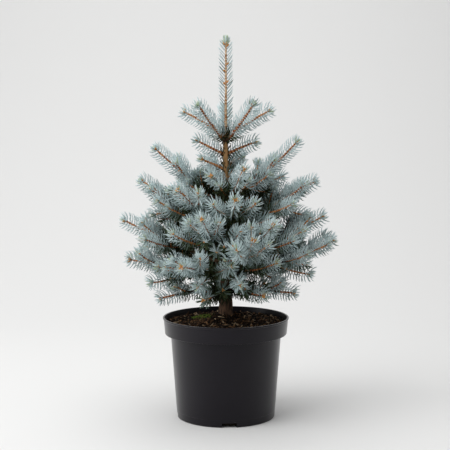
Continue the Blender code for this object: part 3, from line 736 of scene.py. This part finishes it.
def placeBuds(heap, stem, rng):        # a ring of them round the tip, and one on its end
    end, ahead, count = stem.axis[-1], stem.along[-1], bud["counts"][stem.order]
    first = rng.uniform(0, math.tau)
    for number in range(count):
        turn = first + math.tau * number / count + rng.uniform(-bud["turnSpread"], bud["turnSpread"])
        radial = math.cos(turn) * stem.flank[-1] + math.sin(turn) * stem.top[-1]
        way = unit(radial * bud["outward"] + ahead * bud["forward"])
        size = rng.uniform(*bud["sizeSpread"]) * bud["sizes"][stem.order]
        placeBud(heap, end - ahead * bud["back"] + radial * bud["out"], way, size)
    placeBud(heap, end - ahead * bud["endBack"], ahead, bud["endSizes"][stem.order])


def placeLeaderBuds(heap, stem, rng):
    for back, degrees in leaderBud["places"]:
        number = int((1 - back / stem.length) * (len(stem.axis) - 1))
        out = unit(np.array(heading(math.radians(degrees), leaderBud["rise"])))
        placeBud(heap, stem.axis[number] + out * leaderBud["out"], out, rng.uniform(*leaderBud["sizes"]))


# new needles that are still folded together round an end bud
closedTips = {"leader_foliage": 1.25, "top_foliage_4": 0.75, "top_foliage_5": 0.75, "high_foliage_4": 0.7,
              "high_foliage_1": 0.7, "middle_foliage_4": 0.7, "middle_foliage_1": 0.6}
closedTip = dict(count=28, length=0.0165, lengthSpread=(0.8, 1.05), bow=0.0024, bowSpread=(0.6, 1.1),
                 foot=0.0016, back=0.002, lean=math.radians(84), leanSpread=0.05, fresh=0.75)


def placeClosedTip(heap, stem, size, rng):
    end, ahead, count = stem.axis[-1], stem.along[-1], closedTip["count"]
    radial = swung(stem.top[-1], stem.flank[-1], rng.uniform(-math.pi, math.pi, count))
    lean = closedTip["lean"] + rng.normal(0, closedTip["leanSpread"], count)
    way = unit(swung(radial, ahead, lean))
    length = closedTip["length"] * size * rng.uniform(*closedTip["lengthSpread"], count)
    foot = end - ahead * closedTip["back"] + radial * closedTip["foot"] * size
    bow = radial * (closedTip["bow"] * size * rng.uniform(*closedTip["bowSpread"], count))[:, None]
    points, faces, each = needleMesh(foot, way, length, bow, np.broadcast_to(ahead, way.shape), 1.0, rng)
    tones = np.where(rng.random(count) < closedTip["fresh"], toneNumber["fresh"], toneNumber["frost"])
    heap.add(points, faces, np.repeat(tones, each))


# old dark needles, held close to the young part of the trunk
trunkNeedles = dict(low=0.505, high=0.628, perMetre=700, length=0.017, lengthSpread=(0.7, 1.1), slim=0.8,
                    lean=math.radians(62), spread=0.16, sideways=0.45, sunk=0.8, sickle=0.04,
                    tones={"slate": 0.45, "green": 0.45, "old": 0.1})


def placeTrunkNeedles(heap, rng):
    count = int((trunkNeedles["high"] - trunkNeedles["low"]) * trunkNeedles["perMetre"])
    heights = rng.uniform(trunkNeedles["low"], trunkNeedles["high"], count)
    turns = rng.uniform(-math.pi, math.pi, count)
    sideways = abs(np.cos(turns)) > trunkNeedles["sideways"]
    turns, heights, count = turns[sideways], heights[sideways], int(sideways.sum())
    radial = np.stack([np.cos(turns), np.sin(turns), np.zeros(count)], 1)
    ahead = np.broadcast_to(np.array((0, 0, 1.0)), radial.shape)
    way = unit(swung(radial, ahead, trunkNeedles["lean"] + rng.normal(0, trunkNeedles["spread"], count)))
    foot = rows([trunkPoint(height) for height in heights])
    foot = foot + radial * (trunkRadius(heights) * trunkNeedles["sunk"])[:, None]
    size = trunkNeedles["length"] * rng.uniform(*trunkNeedles["lengthSpread"], count)
    bow = -radial * (size * trunkNeedles["sickle"])[:, None]
    points, faces, each = needleMesh(foot, way, size, bow, ahead, trunkNeedles["slim"], rng)
    numbers = [toneNumber[name] for name in trunkNeedles["tones"]]
    tones = rng.choice(numbers, count, p=tuple(trunkNeedles["tones"].values()))
    heap.add(points, faces, np.repeat(tones, each))


def makeFoliage():
    for tier in ["leader", *tiers]:
        members = [mass for mass in masses if mass.tier == tier]
        needles, stems, buds = Heap(), Heap(), Heap()
        for mass in members:
            rng = np.random.default_rng([growth["seed"], *mass.name.encode()])
            for stem in mass.stems:
                placeNeedles(needles, stem, tier, rng)
                placeStem(stems, stem, mass, rng)
                placeBuds(buds, stem, rng)
            if mass.name in closedTips:
                placeClosedTip(needles, mass.stems[0], closedTips[mass.name], rng)
        if tier == "leader":
            placeLeaderBuds(buds, members[0].stems[0], rng)
        if tier == "upper":
            placeTrunkNeedles(needles, rng)
        names = [mass.name for mass in members]
        makePiece(tier + "_needles", needles, needleLooks, names, False)
        makePiece(tier + "_twigs", stems, stemLooks, names, True)
        makePiece(tier + "_buds", buds, budLooks, names, True)
        print("foliage:", tier, needles.triangles(), stems.triangles(), buds.triangles(), "triangles")


makeFoliage()


# trunk and boughs, with the relief of their bark
barkFinish = dict(rough=0.85, gloss=0.2, detail=5.0, darkAt=0.32, lightAt=0.68, strength=0.35,
                  depth=0.0008)


def barkLook(name, dark, light, scale, stretch):
    look = Look(name, Roughness=barkFinish["rough"], Specular_IOR_Level=barkFinish["gloss"])
    plates = look.grain(scale, barkFinish["detail"], stretch)
    look.paint(plates, (barkFinish["darkAt"], dark), (barkFinish["lightAt"], light))
    look.relief(plates, barkFinish["strength"], barkFinish["depth"])
    return look


trunkLooks = [
    barkLook("trunk_bark_low", (0.014, 0.009, 0.006), (0.150, 0.086, 0.052), 160, (1, 1, 0.45)),
    barkLook("trunk_bark_high", (0.210, 0.110, 0.045), (0.520, 0.300, 0.130), 220, (1, 1, 0.20)),
    barkLook("whorl_joint", (0.020, 0.013, 0.009), (0.085, 0.050, 0.026), 200, (1, 1, 0.6)),
]
lowBark, highBark, jointBark = range(len(trunkLooks))
boughBark = barkLook("bough_bark", (0.035, 0.020, 0.012), (0.150, 0.085, 0.045), 190, (1, 1, 1))

trunkMesh = dict(
    rings=230, sides=40, sunk=0.004, lobeDepth=0.4, mostFlare=0.006,
    oldBelow=0.50, oldRun=0.12, plate=0.0011, plateGrain=(2.2, 130), finePlates=(2.3, 0.5),
    fibre=0.00035, fibreGrain=(6, 45),
    joints=(0.285, 0.307, 0.342, 0.390, 0.470, 0.617), jointSwell=0.0007, jointRun=0.006, jointBand=0.004,
)


def noiseSpot(angle, grain, height):   # where noise is read, so that it closes round a stem
    across, up = grain
    return Vector((math.cos(angle) * across, math.sin(angle) * across, height * up))


def trunkRing(height, angles):         # radii of the trunk at a height, one for each angle
    level = max(height, soil["top"])
    lobes = 1 - trunkMesh["lobeDepth"] + trunkMesh["lobeDepth"] * np.cos(trunk["lobes"] * angles)
    flare = trunk["flare"] * lobes * math.exp((soil["top"] - height) / trunk["flareHeight"])
    old = min(1.0, max(0.0, (trunkMesh["oldBelow"] - height) / trunkMesh["oldRun"]))
    knot = max(math.exp(-((height - joint) / trunkMesh["jointRun"]) ** 2) for joint in trunkMesh["joints"])
    scale, share = trunkMesh["finePlates"]
    radii = []
    for angle, spread in zip(angles, flare):
        spot = noiseSpot(angle, trunkMesh["plateGrain"], height)
        plates = noise.noise(spot) + share * noise.noise(spot * scale)
        fibres = noise.noise(noiseSpot(angle, trunkMesh["fibreGrain"], height))
        radii.append(trunkRadius(level) + min(spread, trunkMesh["mostFlare"])
                     + old * trunkMesh["plate"] * plates + trunkMesh["fibre"] * fibres
                     + knot * trunkMesh["jointSwell"])
    return radii


def makeTrunk():
    heap = Heap()
    start = soil["top"] - trunkMesh["sunk"]
    heights = start + (trunk["top"] - start) * np.linspace(0, 1, trunkMesh["rings"])
    centres = rows([trunkPoint(max(height, soil["top"])) for height in heights])
    centres[:, 2] = heights
    angles = ringAngles(trunkMesh["sides"])
    radii = np.array([trunkRing(height, angles) for height in heights])
    faces, bands = tubeFaces(trunkMesh["rings"], trunkMesh["sides"])
    toJoint = np.array([min(abs(height - joint) for joint in trunkMesh["joints"]) for height in heights])
    tone = np.where(heights < trunkMesh["oldBelow"], lowBark, highBark)
    tone = np.where(toJoint < trunkMesh["jointBand"], jointBark, tone)
    heap.add(tube(centres, radii), faces, tone[bands])
    makePiece("trunk_with_bark", heap, trunkLooks, ["trunk"], True)
    print("trunk made:", heap.triangles(), "triangles")


boughMesh = dict(step=0.0014, sides=12, collarFall=7, relief=0.0007, grain=(1.8, 0.55), apart=9)


def makeBoughs():
    angles = ringAngles(boughMesh["sides"])
    for tier in ("middle", "low", "lowest"):
        heap = Heap()
        members = [mass for mass in masses if mass.tier == tier]
        for mass in members:
            centres = rows(walk(mass.branch[:mass.entry + 1], boughMesh["step"]))
            share = np.linspace(0, 1, len(centres))
            radii = boughRadius(share) + stemSizes["collar"] * np.exp(-boughMesh["collarFall"] * share)
            apart = Vector((0, 0, mass.azimuth * boughMesh["apart"]))       # each bough has its own relief
            relief = np.array([[noise.noise(noiseSpot(angle, boughMesh["grain"], ring) + apart)
                                for angle in angles] for ring in range(len(centres))])
            faces = tubeFaces(len(centres), boughMesh["sides"])[0]
            heap.add(tube(centres, radii[:, None] + relief * boughMesh["relief"]), faces, 0)
        names = [mass.name.replace("foliage", "bough") for mass in members]
        makePiece(tier + "_boughs", heap, [boughBark], names, True)
        print("boughs made:", tier, heap.triangles(), "triangles")


makeTrunk()
makeBoughs()


# compost: a lumpy top that fills the pot, then crumbs, bark chips, fibres and a little moss
compostFinish = dict(
    rough=0.95, gloss=0.1, grain=420, detail=6.0, strength=0.8, depth=0.002,
    stops=((0.40, (0.002, 0.0014, 0.001)), (0.66, (0.013, 0.008, 0.0045)), (0.78, (0.050, 0.032, 0.018))),
)
chipFinish = dict(rough=0.88, gloss=0.15, grain=300, detail=4.0, darkAt=0.35, lightAt=0.66)


def compostLook():
    look = Look("compost", Roughness=compostFinish["rough"], Specular_IOR_Level=compostFinish["gloss"])
    crumbs = look.grain(compostFinish["grain"], compostFinish["detail"])
    look.paint(crumbs, *compostFinish["stops"])
    look.relief(crumbs, compostFinish["strength"], compostFinish["depth"])
    return look


def chipLook(name, dark, light):
    look = Look(name, Roughness=chipFinish["rough"], Specular_IOR_Level=chipFinish["gloss"])
    fibres = look.grain(chipFinish["grain"], chipFinish["detail"])
    look.paint(fibres, (chipFinish["darkAt"], dark), (chipFinish["lightAt"], light))
    return look


soilLook = compostLook()
chipLooks = [
    chipLook("chip_dark", (0.004, 0.0025, 0.0015), (0.018, 0.010, 0.006)),
    chipLook("chip_brown", (0.016, 0.008, 0.004), (0.060, 0.030, 0.014)),
    chipLook("chip_tan", (0.080, 0.042, 0.020), (0.200, 0.112, 0.056)),
    chipLook("chip_pale", (0.240, 0.170, 0.105), (0.420, 0.320, 0.210)),
]
mossLook = chipLook("moss", (0.050, 0.085, 0.012), (0.190, 0.260, 0.050))

bandFoot = pot["height"] - pot["bandHeight"]
soilMesh = dict(
    rings=90, spokes=220, sunk=0.0012, mound=0.010, moundReach=0.034,
    lump=0.00132, lumps=((60, 0.4, 1.0), (170, 3.1, 0.6), (420, 7.7, 0.35)),      # scale, layer, share
    wallGap=0.0006, edgeGap=0.0003, ledgeGap=0.0003,         # clear of the pot's inside
    floorGap=0.0023, floorEdgeGap=0.0012,
)
lipOut = pot["rim"] - pot["lip"] / 2   # the band's outside, right under the lip
bandRise = (soil["edge"] - bandFoot) / (pot["bandHeight"] - pot["wall"])
soilEdge = pot["bandFoot"] - pot["wall"] - soilMesh["wallGap"] + bandRise * (lipOut - pot["bandFoot"])


def soilHeight(x, y):
    out = math.hypot(x, y)
    level = np.interp(out, (0, soil["patch"], soil["shoulderAt"], soilEdge),
                      (soil["top"], soil["top"], soil["shoulder"], soil["edge"]))
    lumps = sum(share * noise.noise(Vector((x * scale, y * scale, layer)))
                for scale, layer, share in soilMesh["lumps"])
    mound = soilMesh["mound"] * math.exp(-(out / soilMesh["moundReach"]) ** 2)
    return float(level) - soilMesh["sunk"] + mound + soilMesh["lump"] * lumps


def makeSoil():
    heap = Heap()
    outs = np.linspace(0, 1, soilMesh["rings"] + 1)[1:] * (soilEdge - soilMesh["edgeGap"])
    inside = pot["wall"] + soilMesh["wallGap"]
    below = [(pot["bandFoot"] - inside, bandFoot + pot["wall"] + soilMesh["ledgeGap"]),
             (pot["bodyTop"] - inside, bandFoot + soilMesh["ledgeGap"]),
             (pot["base"] - pot["wall"] - soilMesh["floorEdgeGap"], pot["floor"] + soilMesh["floorGap"])]
    points = []
    for out, level in [(out, None) for out in outs] + below:
        for angle in ringAngles(soilMesh["spokes"]):
            x, y = out * math.cos(angle), out * math.sin(angle)
            points.append((x, y, soilHeight(x, y) if level is None else level))
    points += [(0, 0, soilHeight(0, 0)), (0, 0, below[-1][1])]
    faces = tubeFaces(len(outs) + len(below), soilMesh["spokes"])[0]
    heap.add(np.array(points), faces[:, ::-1], 0)            # turned over, as its rings run outwards
    makePiece("compost", heap, [soilLook], ["soil"], True)
    print("compost made:", heap.triangles(), "triangles")


boxCorners = np.array([(x, y, z) for x in (-0.5, 0.5) for y in (-0.5, 0.5) for z in (-0.5, 0.5)])
boxFaces = np.array([(0, 1, 3), (0, 3, 2), (4, 6, 7), (4, 7, 5), (0, 4, 5), (0, 5, 1),
                     (2, 3, 7), (2, 7, 6), (0, 2, 6), (0, 6, 4), (1, 5, 7), (1, 7, 3)])

bareRound = 0.021                      # radius round the trunk with no litter
crumb = dict(count=2600, margin=0.003, size=(0.0012, 0.0040), corners=(0.55, 1.1), turns=(6, 3, 3),
             lifted=0.15, looks=(0.74, 0.19, 0.07))
chip = dict(count=620, margin=0.010, length=(0.005, 0.017), width=(0.002, 0.006), thickness=(0.0007, 0.0018),
            corners=(0.6, 1.1), turn=6.28, flat=0.86, tilt=0.25, steep=(0.6, 1.1), roll=0.5,
            inward=0.97, lifted=0.0008, looks=(0.40, 0.24, 0.25, 0.11))
fibre = dict(count=260, margin=0.012, length=(0.008, 0.020), bend=1.2, points=7, sides=4, radius=0.00035,
             lifted=0.0009, looks=(0.15, 0.35, 0.35, 0.15))


def spotOn(margin, rng):               # somewhere on the compost
    while True:
        out, angle = math.sqrt(rng.uniform(0, 1)) * (soilEdge - margin), rng.uniform(0, math.tau)
        if out > bareRound:
            return out * math.cos(angle), out * math.sin(angle)


def turned(points, turn, tilt, roll):
    spun = np.array([[math.cos(turn), -math.sin(turn), 0], [math.sin(turn), math.cos(turn), 0], [0, 0, 1]])
    tipped = np.array([[math.cos(tilt), 0, math.sin(tilt)], [0, 1, 0], [-math.sin(tilt), 0, math.cos(tilt)]])
    rolled = np.array([[1, 0, 0], [0, math.cos(roll), -math.sin(roll)], [0, math.sin(roll), math.cos(roll)]])
    return points @ (spun @ tipped @ rolled).T


def addCrumb(heap, rng):
    x, y = spotOn(crumb["margin"], rng)
    size = rng.uniform(*crumb["size"])
    corners = boxCorners * rng.uniform(*crumb["corners"], (len(boxCorners), 1)) * size
    points = turned(corners, *[rng.uniform(0, most) for most in crumb["turns"]])
    level = soilHeight(x, y) + size * crumb["lifted"]
    heap.add(points + (x, y, level), boxFaces, rng.choice(3, p=crumb["looks"]))


def addChip(heap, rng):
    x, y = spotOn(chip["margin"], rng)
    size = np.array([rng.uniform(*chip[side]) for side in ("length", "width", "thickness")])
    tilt = rng.normal(0, chip["tilt"]) if rng.random() < chip["flat"] else rng.uniform(*chip["steep"])
    corners = boxCorners * rng.uniform(*chip["corners"], boxCorners.shape) * size
    points = turned(corners, rng.uniform(0, chip["turn"]), tilt, rng.normal(0, chip["roll"]))
    level = max(soilHeight(x, y), soilHeight(x * chip["inward"], y * chip["inward"]))
    heap.add(points + (x, y, level + chip["lifted"]), boxFaces, rng.choice(4, p=chip["looks"]))


def addFibre(heap, rng):
    x, y = spotOn(fibre["margin"], rng)
    turn, size = rng.uniform(0, math.tau), rng.uniform(*fibre["length"])
    bend, count, sides = rng.uniform(-fibre["bend"], fibre["bend"]), fibre["points"], fibre["sides"]
    centres = []
    for share in np.linspace(-0.5, 0.5, count):
        across = x + math.cos(turn + bend * share) * size * share
        along = y + math.sin(turn + bend * share) * size * share
        centres.append((across, along, soilHeight(across, along) + fibre["lifted"]))
    points = tube(np.array(centres), np.full((count, sides), fibre["radius"]))
    heap.add(points, tubeFaces(count, sides)[0], rng.choice(4, p=fibre["looks"]))


def makeLitter():
    heap = Heap()
    rng = np.random.default_rng(growth["seed"])
    for kind, addOne in ((crumb, addCrumb), (chip, addChip), (fibre, addFibre)):
        for _ in range(kind["count"]):
            addOne(heap, rng)
    makePiece("bark_chips", heap, chipLooks, ["soil"], False)
    print("chips and fibres made:", heap.triangles(), "triangles")


moss = dict(spot=(-0.066, 0.010), tufts=480, lean=0.5, length=(0.0025, 0.0070), sunk=0.0005,
            radii=(0.0006, 0.0008, 0.0002), sides=4,
            clumps=((0, 0, 0.0050), (0.008, 0.006, 0.0040), (0.022, -0.008, 0.0075), (0, 0.002, 0.0035)))


def makeMoss():                        # clumps: across, back, spread
    heap = Heap()
    rng = np.random.default_rng(growth["seed"] + 1)
    radii = np.array(moss["radii"])[:, None] * np.ones(moss["sides"])
    for number in range(moss["tufts"]):
        across, back, spread = moss["clumps"][number % len(moss["clumps"])]
        x = moss["spot"][0] + across + rng.normal(0, spread)
        y = moss["spot"][1] + back + rng.normal(0, spread)
        lean = unit(np.array((rng.normal(0, moss["lean"]), rng.normal(0, moss["lean"]), 1.0)))
        foot = np.array((x, y, soilHeight(x, y) - moss["sunk"]))
        centres = foot + lean * np.linspace(0, rng.uniform(*moss["length"]), len(radii))[:, None]
        heap.add(tube(centres, radii), tubeFaces(len(radii), moss["sides"])[0], 0)
    makePiece("moss", heap, [mossLook], ["soil"], False)
    print("moss made:", heap.triangles(), "triangles")


makeSoil()
makeLitter()
makeMoss()


# pot: moulded plastic, turned with round edges, and slots cut through its foot
potMesh = dict(
    sides=160, arc=5, lipRound=0.0010, edgeRound=0.0016, insideRound=0.002, smallRound=0.0006,
    footRound=0.003, lipStep=0.0008, bandStep=0.0004, seam=0.016, seamStep=0.0003,
    merge=0.00002, sharp=math.radians(40),
)
slot = dict(count=4, turn=math.radians(-86), width=0.032, height=0.010, depth=0.022)


def rounded(corners):                  # a profile with each (radius, height, rounding) corner as an arc
    points = []
    for number, (out, level, size) in enumerate(corners):
        here = Vector((out, level))
        if not size:
            points.append(tuple(here))
            continue
        before = (Vector(corners[number - 1][:2]) - here).normalized() * size
        after = (Vector(corners[number + 1][:2]) - here).normalized() * size
        for step in range(potMesh["arc"] + 1):
            share = step / potMesh["arc"]
            points.append(tuple(here + before * (1 - share) ** 2 + after * share ** 2))
    return points


def potProfile():                      # from the middle of the inside floor, over the rim, to under the foot
    wall, top, foot = pot["wall"], pot["height"], potMesh["seam"]
    edge, small, lip, seam = (potMesh[key] for key in ("edgeRound", "smallRound", "lipRound", "seamStep"))
    seamOut = pot["base"] + (pot["bodyTop"] - pot["base"]) * foot / bandFoot
    return rounded((
        (0, pot["floor"], 0), (pot["base"] - wall, pot["floor"], potMesh["insideRound"]),
        (pot["bodyTop"] - wall, bandFoot, edge), (pot["bandFoot"] - wall, bandFoot + wall, edge),
        (lipOut - wall, top, lip), (pot["rim"], top, lip), (pot["rim"], top - pot["lip"], small),
        (lipOut, top - pot["lip"] - potMesh["lipStep"], small), (pot["bandFoot"], bandFoot, edge),
        (pot["bodyTop"], bandFoot - potMesh["bandStep"], edge), (seamOut, foot + seam, seam),
        (seamOut - seam, foot, seam), (pot["base"], 0, potMesh["footRound"]), (0, 0, 0)))


def cutSlots(piece):                   # returns the cutters, for removal once the cuts are applied
    cutters = []
    for number in range(slot["count"]):
        azimuth = slot["turn"] + math.tau * number / slot["count"]
        block = bpy.data.meshes.new("slot_cutter")
        corners = boxCorners * (slot["depth"] * 2, slot["width"], slot["height"] * 2)
        block.from_pydata(corners.tolist(), [], boxFaces.tolist())
        cutter = linked("slot_cutter", block)
        cutter.location = heading(azimuth, 0) * pot["base"]
        cutter.rotation_euler.z = azimuth
        cut = piece.modifiers.new("slot", "BOOLEAN")
        cut.operation = "DIFFERENCE"
        cut.object = cutter
        cutters.append(cutter)
    return cutters


def makePot(look):
    profile = potProfile()
    mesh = bpy.data.meshes.new("moulded_pot")
    edges = [(number, number + 1) for number in range(len(profile) - 1)]
    mesh.from_pydata([(out, 0, level) for out, level in profile], edges, [])
    piece = linked("moulded_pot", mesh)
    turn = piece.modifiers.new("turn", "SCREW")
    turn.steps = turn.render_steps = potMesh["sides"]
    turn.use_merge_vertices = True
    turn.merge_threshold = potMesh["merge"]
    cutters = cutSlots(piece)
    bpy.context.view_layer.update()
    made = bpy.data.meshes.new_from_object(piece.evaluated_get(bpy.context.evaluated_depsgraph_get()))
    piece.modifiers.clear()
    piece.data = made
    for cutter in cutters:
        bpy.data.objects.remove(cutter)
    made.materials.clear()
    made.materials.append(look.material)
    made.shade_smooth()
    made.set_sharp_from_angle(angle=potMesh["sharp"])
    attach(piece, "root")
    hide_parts("pot")
    print("pot made:", len(made.polygons), "faces")


# near black, with a dull bloom that shows at a slant
plastic = dict(dark=(0.0074, 0.0064, 0.0089), pale=(0.0125, 0.0109, 0.0147), wash=9, mould=900, detail=3.0,
               gloss=0.07, rough=0.34, roughSpread=0.12, bloom=0.12, slantBloom=0.75, bloomRough=0.30,
               strength=0.10, depth=0.0004)


def plasticLook():
    look = Look("pot_plastic", Specular_IOR_Level=plastic["gloss"], Coat_Roughness=plastic["bloomRough"])
    mould = look.grain(plastic["mould"], plastic["detail"])
    wash = look.grain(plastic["wash"], plastic["detail"])
    facing = look.node("LayerWeight", {}, {"Blend": 0.5}, out="Facing")
    look.feed(look.shader, "Base Color", look.mix(wash, plastic["dark"], plastic["pale"]))
    look.feed(look.shader, "Roughness", plastic["rough"] + plastic["roughSpread"] * wash)
    look.feed(look.shader, "Coat Weight", plastic["slantBloom"] * facing + plastic["bloom"])
    look.relief(mould, plastic["strength"], plastic["depth"])
    return look


makePot(plasticLook())


# studio: floor and backdrop, light and camera
studio = dict(colour=(0.755, 0.755, 0.750), wallAt=3.7, sweep=2.6, half=5.0, top=5.0, steps=32, rough=0.9,
              sky=0.41)
lamps = {                              # place, aim, size, energy
    "key": ((-2.6, -1.6, 2.4), (0, 0, 0.35), 3.8, 83),
    "top": ((-0.2, -0.1, 3.0), (0, 0, 0.4), 3.2, 44),
    "side": ((-2.3, -0.75, 0.5), (0, 0, 0.16), 0.9, 4),
    "wash": ((0, 1.6, 3.4), (0, 3.6, 0.6), 2.6, 21),
}
view = dict(place=(0, -2.5, 0.674), tilt=90 - 5.61, lens=90.9, sensor=36, shift=-0.9 / 450)


def makeBackdrop():                    # a floor that sweeps up into a wall
    half, sweep, start = studio["half"], studio["sweep"], studio["wallAt"] - studio["sweep"]
    profile = [(-half, 0.0), (start, 0.0)]
    for number in range(1, studio["steps"] + 1):
        angle = math.radians(90) * number / studio["steps"]
        profile.append((start + sweep * math.sin(angle), sweep * (1 - math.cos(angle))))
    profile.append((studio["wallAt"], studio["top"]))
    points = [(x, y, z) for y, z in profile for x in (-half, half)]
    faces = [(2 * number, 2 * number + 1, 2 * number + 3, 2 * number + 2)
             for number in range(len(profile) - 1)]
    mesh = bpy.data.meshes.new("floor_and_backdrop")
    mesh.from_pydata(points, [], faces)
    mesh.materials.append(Look("paper", Base_Color=studio["colour"], Roughness=studio["rough"]).material)
    mesh.shade_smooth()
    backdrop = linked("floor_and_backdrop", mesh)


def makeLight():
    world = bpy.data.worlds.new("soft light")
    bpy.context.scene.world = world
    world.use_nodes = True
    background = world.node_tree.nodes["Background"]
    background.inputs["Color"].default_value = (1, 1, 1, 1)
    background.inputs["Strength"].default_value = studio["sky"]
    for name, (place, aim, size, energy) in lamps.items():
        light = bpy.data.lights.new(name, "AREA")
        light.shape = "DISK"
        light.size = size
        light.energy = energy
        lamp = linked(name, light)
        lamp.location = place
        lamp.rotation_euler = (Vector(aim) - Vector(place)).to_track_quat("-Z", "Y").to_euler()


def makeCamera():
    camera = bpy.data.cameras.new("camera")
    camera.lens = view["lens"]
    camera.sensor_width = view["sensor"]
    camera.shift_x = view["shift"]
    eye = linked("camera", camera)
    eye.location = view["place"]
    eye.rotation_euler = (math.radians(view["tilt"]), 0, 0)
    bpy.context.scene.camera = eye
    bpy.context.scene.view_settings.view_transform = "Standard"


makeBackdrop()
makeLight()
makeCamera()
print("studio made")
